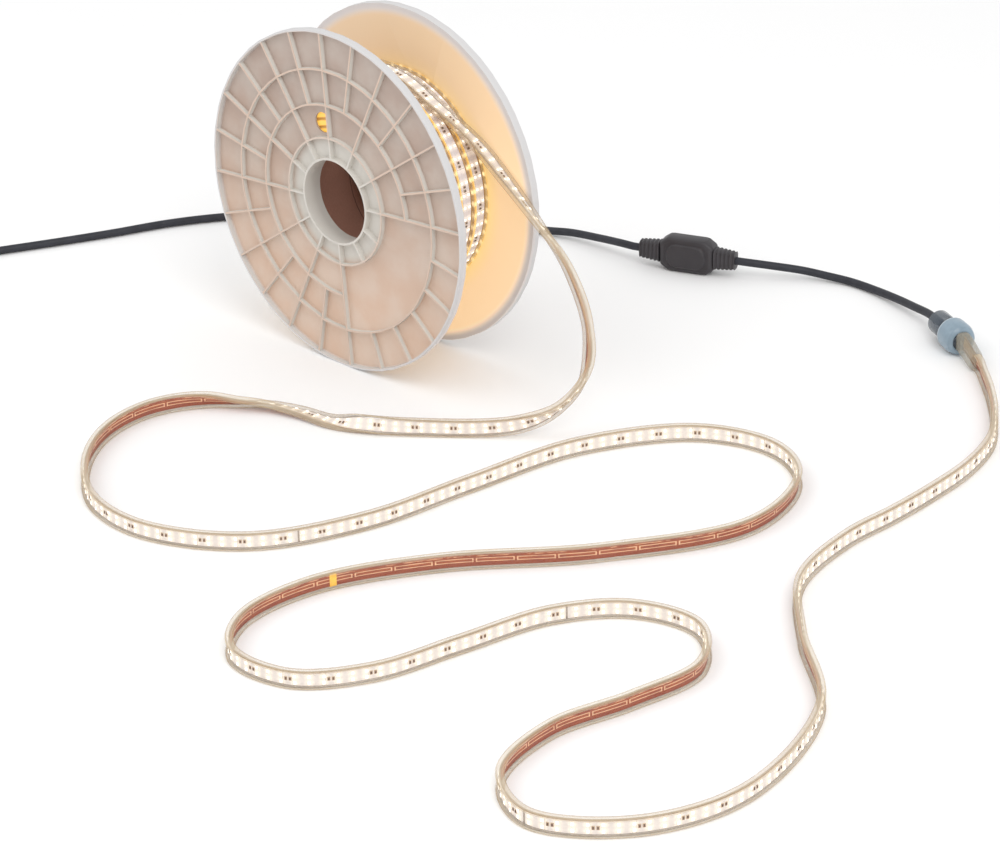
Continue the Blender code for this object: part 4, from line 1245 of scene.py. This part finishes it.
class ROPE_OT_free_strip(bpy.types.Operator):
    """Lay the free length of strip from the reel to the connector"""
    bl_idname = "rope.free_strip"
    bl_label = "Free strip"

    def execute(self, context):
        looks = context.scene.strip_looks
        points = evenly(free_strip_points(), STRIP_STEP)
        stations = stations_along(points)
        outline = rounded_rectangle(STRIP_THICKNESS, STRIP_WIDTH, STRIP_CORNER, 3)
        piece = swept("free_strip_sleeve", stations, [outline])
        finish_piece(piece, "strip_sleeve", sleeve(
            "free sleeve", looks, looks.sleeve_edge, (0.08, 0.06, 0.03), 0.05, 0.62, 0.50))
        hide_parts("free_strip")
        inner = strip_set("free_strip", stations, False, looks, strip_finishes(looks, False),
                          FIRST_LIGHT_FROM)
        runs = runs_of(stations)
        half_width = looks.board_width / 2 + BAND_OVERLAP
        half_depth = looks.board_thickness / 2 + BAND_RISE
        tape = plain("joint tape", looks.tape, 0.35, glow=(0.30, 0.16, 0.01), strength=1.0)
        seam = plain("board joint", (0.42, 0.34, 0.28), 0.5)
        bands = [(TAPE_AT, TAPE_REACH, tape), *((run, JOINT_REACH, seam) for run in BOARD_JOINTS)]
        for index, (run, reach, finish) in enumerate(bands):
            places = [station_at(stations, runs, run + reach * step) for step in (-1, 0, 1)]
            band = swept("board_band_%d" % (index + 1), places,
                         [rounded_rectangle(2 * half_depth, 2 * half_width, 0.0003, 1)])
            finish_piece(band, "strip_sleeve", finish)
            inner.append(band)
        return {"FINISHED"}


def lane_middle(lane):
    return lane * LANE_PITCH - LAST_LANE


def swaying(lane):
    """Place across the reel of a lane's outer turn, by angle."""
    return lambda turn: lane_middle(lane) + LANE_SWAY * sin(3 * turn + lane * 1.9)


def sagging(lane):
    """Radius of a lane's outer turn, by angle."""
    return lambda turn: OUTER_TURN - TURN_SINK - TURN_SAG * (1 + sin(2 * turn + lane * 2.3))


def climbing(turn):
    """Radius of the turn on top, which comes down to the others at its end."""
    start = radians(LAYER_START_ANGLE - LAYER_CLIMB)
    return OUTER_TURN + STRIP_THICKNESS * (1 - eased(turn, start, radians(LAYER_CLIMB)))


class ROPE_OT_winding(bpy.types.Operator):
    """Wind the outer turns of strip on the reel, over the glowing turns below"""
    bl_idname = "rope.winding"
    bl_label = "Winding"

    def execute(self, context):
        looks = context.scene.strip_looks
        end = LAST_LANE + STRIP_WIDTH / 2
        flank = [(end - TURN_GROOVE, WINDING_BORE + 0.0004)]
        for layer in range(LAYERS - 1):
            foot = WINDING_BORE + layer * STRIP_THICKNESS
            flank += [(end, foot + STRIP_CORNER), (end, foot + STRIP_THICKNESS - STRIP_CORNER),
                      (end - TURN_GROOVE, foot + STRIP_THICKNESS)]
        profile = [(-y, out) for y, out in flank[:-1]]
        for lane in range(LANES):
            middle = lane_middle(lane)
            if lane:
                profile.append((middle - LANE_PITCH / 2, LOWER_TOP - LANE_VALLEY))
            profile.append((middle - STRIP_WIDTH / 2 + LANE_EDGE, LOWER_TOP))
            profile.append((middle + STRIP_WIDTH / 2 - LANE_EDGE, LOWER_TOP))
        profile += flank[-2::-1]
        base = turned("wound_lower_turns", profile, 96)
        finish_piece(base, "strip_sleeve", winding_glow(looks))
        # On the winding the sleeve's golden edges, their glow and the beads are painted light of
        # the lit turns
        wound_sleeve = sleeve("wound sleeve", looks, looks.glowing_edge, (0.52, 0.31, 0.06), 0.10,
                              0.75, 0.35, (1.0, 0.84, 0.46))
        outline = rounded_rectangle(STRIP_THICKNESS, STRIP_WIDTH, STRIP_CORNER, 2)
        turns = [(swaying(lane), sagging(lane), 7.0 * lane, 360 + 7.0 * lane, TURN_STEPS, True)
                 for lane in range(LANES)]
        turns.append((lambda turn: LEAVE_AT, climbing, STRIP_START_ANGLE + 0.3, LAYER_START_ANGLE,
                      LAST_TURN_STEPS, False))
        for index, (across, out, first, last, count, closed) in enumerate(turns):
            stations = stations_round(across, out, first, last, count, closed)
            name = "wound_turn_%d" % (index + 1)
            piece = swept(name, stations, [outline], closed)
            finish_piece(piece, "strip_sleeve", wound_sleeve)
            strip_set(name, stations, closed, looks, strip_finishes(looks, True))
        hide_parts("wound_strip")
        return {"FINISHED"}


class ROPE_OT_reel(bpy.types.Operator):
    """Refine the two flanges and the board tube"""
    bl_idname = "rope.reel"
    bl_label = "Reel"

    def execute(self, context):
        looks = context.scene.reel_looks
        plastic = reel_plastic(looks)
        for node in ("front_flange", "rear_flange"):
            dress(node, "_moulding", "reel_plastic", plastic, looks.edge_round)
        dress("core_tube", "_board", "tube_board", tube_board(), SMALL_EDGE)
        return {"FINISHED"}


class ROPE_OT_leads(bpy.types.Operator):
    """Lay the short lead and the supply lead with its coil"""
    bl_idname = "rope.leads"
    bl_label = "Leads"

    def execute(self, context):
        sheath = lead_sheath(context.scene.lead_looks)
        runs = (
            ("short_lead_sheath", short_lead_points(), "fitting", ["short_lead"],
             ["rectifier_box", "relief_strip_side"]),
            ("supply_lead_sheath", supply_lead_points(), "plug",
             ["supply_lead", "lead_coil", "plug_tail"],
             ["plug_body", "plug_pin_left", "plug_pin_right"]),
        )
        for name, route, far_end, solids, company in runs:
            points = evenly([tuple(point) for point in route], LEAD_STEP)
            curve = bpy.data.curves.new(name, "CURVE")
            curve.dimensions = "3D"
            curve.twist_mode = "Z_UP"
            curve.use_fill_caps = True
            curve.bevel_depth = LEAD_RADIUS
            curve.bevel_resolution = 5
            spline = curve.splines.new("POLY")
            spline.points.add(len(points) - 1)
            for knot, point in zip(spline.points, points):
                knot.co = (*point, 1)
            spline.use_smooth = True
            piece = new_piece(name, curve)
            finish_piece(piece, "lead_black", sheath)
            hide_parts(*solids)
        return {"FINISHED"}


class ROPE_OT_connector(bpy.types.Operator):
    """Refine the hood, nut and collar between strip and lead, and show what lies inside them"""
    bl_idname = "rope.connector"
    bl_label = "Connector"

    def execute(self, context):
        looks = context.scene.lead_looks
        shells = (("locking_nut", "nut_blue", clear_moulding("nut milky", looks.nut, 0.88, 0.25)),
                  ("strip_hood", "connector_clear", clear_moulding("hood clear", looks.hood, 0.32)),
                  ("lead_collar", "connector_clear",
                   clear_moulding("collar clear", looks.collar, 0.60)))
        for node, slot, finish in shells:
            dress(node, "_shell", slot, finish, SMALL_EDGE)
        axis = Vector((0, 0, 1)).rotation_difference(-heading(CONNECTOR_HEADING)).to_euler()
        # The pale ring sunk in the nut's end by its rim is a painted highlight on the rim
        deselect()
        bpy.ops.mesh.primitive_torus_add(
            location=connector_point(LIP_SINK - NUT_LENGTH / 2), rotation=axis,
            major_radius=NUT_RADIUS - LIP_INSET, minor_radius=LIP_RADIUS,
            major_segments=48, minor_segments=8)
        lip = added("nut_lip")
        shade(lip)
        finish_piece(lip, "nut_blue", plain("nut lip highlight", (0.66, 0.74, 0.78), 0.2))
        dark = plain("contact block", (0.030, 0.032, 0.038), 0.35)
        root = NUT_LENGTH / 2 + GAP
        for index, (along, reach, wide) in enumerate(CONTACT_BLOCKS):
            deselect()
            bpy.ops.mesh.primitive_cylinder_add(
                vertices=32, radius=wide, depth=reach, location=connector_point(-root - along),
                rotation=axis)
            block = added("contact_block_%d" % (index + 1))
            apply_modifier(block, "BEVEL", width=0.0006, segments=2, limit_method="ANGLE")
            shade(block)
            finish_piece(block, "connector_clear", dark)
        line = []
        for step in range(HOOD_STRIP_STEPS + 1):
            share = HOOD_STRIP_FROM + (HOOD_STRIP_TO - HOOD_STRIP_FROM) * step / HOOD_STRIP_STEPS
            side, drop = hood_bend(share)
            line.append((*connector_point(root + HOOD_LENGTH * share, side, drop), 180))
        stations = stations_along(line)
        piece = swept("strip_end_in_hood", stations, [hexagon(*HOOD_CORE)])
        finish_piece(piece, "connector_clear", plain("strip end", (0.50, 0.32, 0.17), 0.35))
        wires = [hexagon(HOOD_WIRE_RADIUS, HOOD_WIRE_RADIUS, middle)
                 for middle in (-HOOD_WIRE_SPREAD, HOOD_WIRE_SPREAD)]
        piece = swept("wires_in_hood", stations, wires)
        finish_piece(piece, "connector_clear", plain("wires in hood", (0.30, 0.17, 0.08), 0.3, 0.3))
        return {"FINISHED"}


class ROPE_OT_rectifier(bpy.types.Operator):
    """Refine the rectifier box, its strain reliefs and the plug"""
    bl_idname = "rope.rectifier"
    bl_label = "Rectifier"

    def execute(self, context):
        finish = moulded_black(context.scene.lead_looks)
        for node, width in (("rectifier_box", 0.0010), ("relief_strip_side", SMALL_EDGE),
                            ("relief_mains_side", SMALL_EDGE), ("plug_body", 0.0006)):
            dress(node, "_moulding", "lead_black", finish, width, 3, 25)
        pins = pin_metal()
        for node in ("plug_pin_left", "plug_pin_right"):
            dress(node, "_turned", "pin_nickel", pins, 0.0002)
        return {"FINISHED"}


class ROPE_OT_stage(bpy.types.Operator):
    """Set the floor, the lights and the camera"""
    bl_idname = "rope.stage"
    bl_label = "Stage"

    def execute(self, context):
        looks = context.scene.stage_looks
        deselect()
        bpy.ops.mesh.primitive_plane_add(size=12, location=(0, 0, FLOOR_AT))
        floor = added("floor")
        floor.data.materials.append(floor_paint(looks.floor))
        world = bpy.data.worlds.new("studio")
        context.scene.world = world
        world.use_nodes = True
        surround = world.node_tree.nodes["Background"]
        surround.inputs["Color"].default_value = (1, 1, 1, 1)
        surround.inputs["Strength"].default_value = looks.world_strength
        for name, place, size, power in (
                ("key", (2.4, -1.0, 2.6), 1.8, looks.key_power),
                ("fill", (-1.2, -2.0, 2.4), 2.4, looks.key_power * 0.5)):
            light = bpy.data.lights.new(name, "AREA")
            light.energy = power
            light.size = size
            lamp = new_piece(name, light)
            lamp.location = place
            lamp.rotation_euler = (-Vector(place)).to_track_quat("-Z", "Y").to_euler()
        camera = bpy.data.cameras.new("camera")
        camera.lens = looks.lens
        camera.clip_end = 20
        viewer = new_piece("camera", camera)
        viewer.location = CAMERA_AT
        viewer.rotation_euler = [radians(angle) for angle in CAMERA_TURN]
        context.scene.camera = viewer
        context.scene.view_settings.view_transform = "Standard"
        return {"FINISHED"}


OPERATORS = (ROPE_OT_stage, ROPE_OT_free_strip, ROPE_OT_leads, ROPE_OT_winding, ROPE_OT_reel,
             ROPE_OT_connector, ROPE_OT_rectifier)
SETTINGS = (("reel_looks", ReelLooks), ("strip_looks", StripLooks), ("lead_looks", LeadLooks),
            ("stage_looks", StageLooks))


class ROPE_PT_panel(bpy.types.Panel):
    """Steps and settings of the rope light"""
    bl_label = "Rope light"
    bl_space_type = "VIEW_3D"
    bl_region_type = "UI"
    bl_category = "Rope light"

    def draw(self, context):
        for operator in OPERATORS:
            self.layout.operator(operator.bl_idname)
        for name, group in SETTINGS:
            box = self.layout.box()
            for setting in group.__annotations__:
                box.prop(getattr(context.scene, name), setting)


def register():
    for name, group in SETTINGS:
        bpy.utils.register_class(group)
        setattr(bpy.types.Scene, name, bpy.props.PointerProperty(type=group))
    for item in (*OPERATORS, ROPE_PT_panel):
        bpy.utils.register_class(item)


def unregister():
    for item in (ROPE_PT_panel, *reversed(OPERATORS)):
        bpy.utils.unregister_class(item)
    for name, group in reversed(SETTINGS):
        delattr(bpy.types.Scene, name)
        bpy.utils.unregister_class(group)


def main():
    register()
    for operator in OPERATORS:
        family, name = operator.bl_idname.split(".")
        getattr(getattr(bpy.ops, family), name)()


if __name__ == "__main__":
    main()
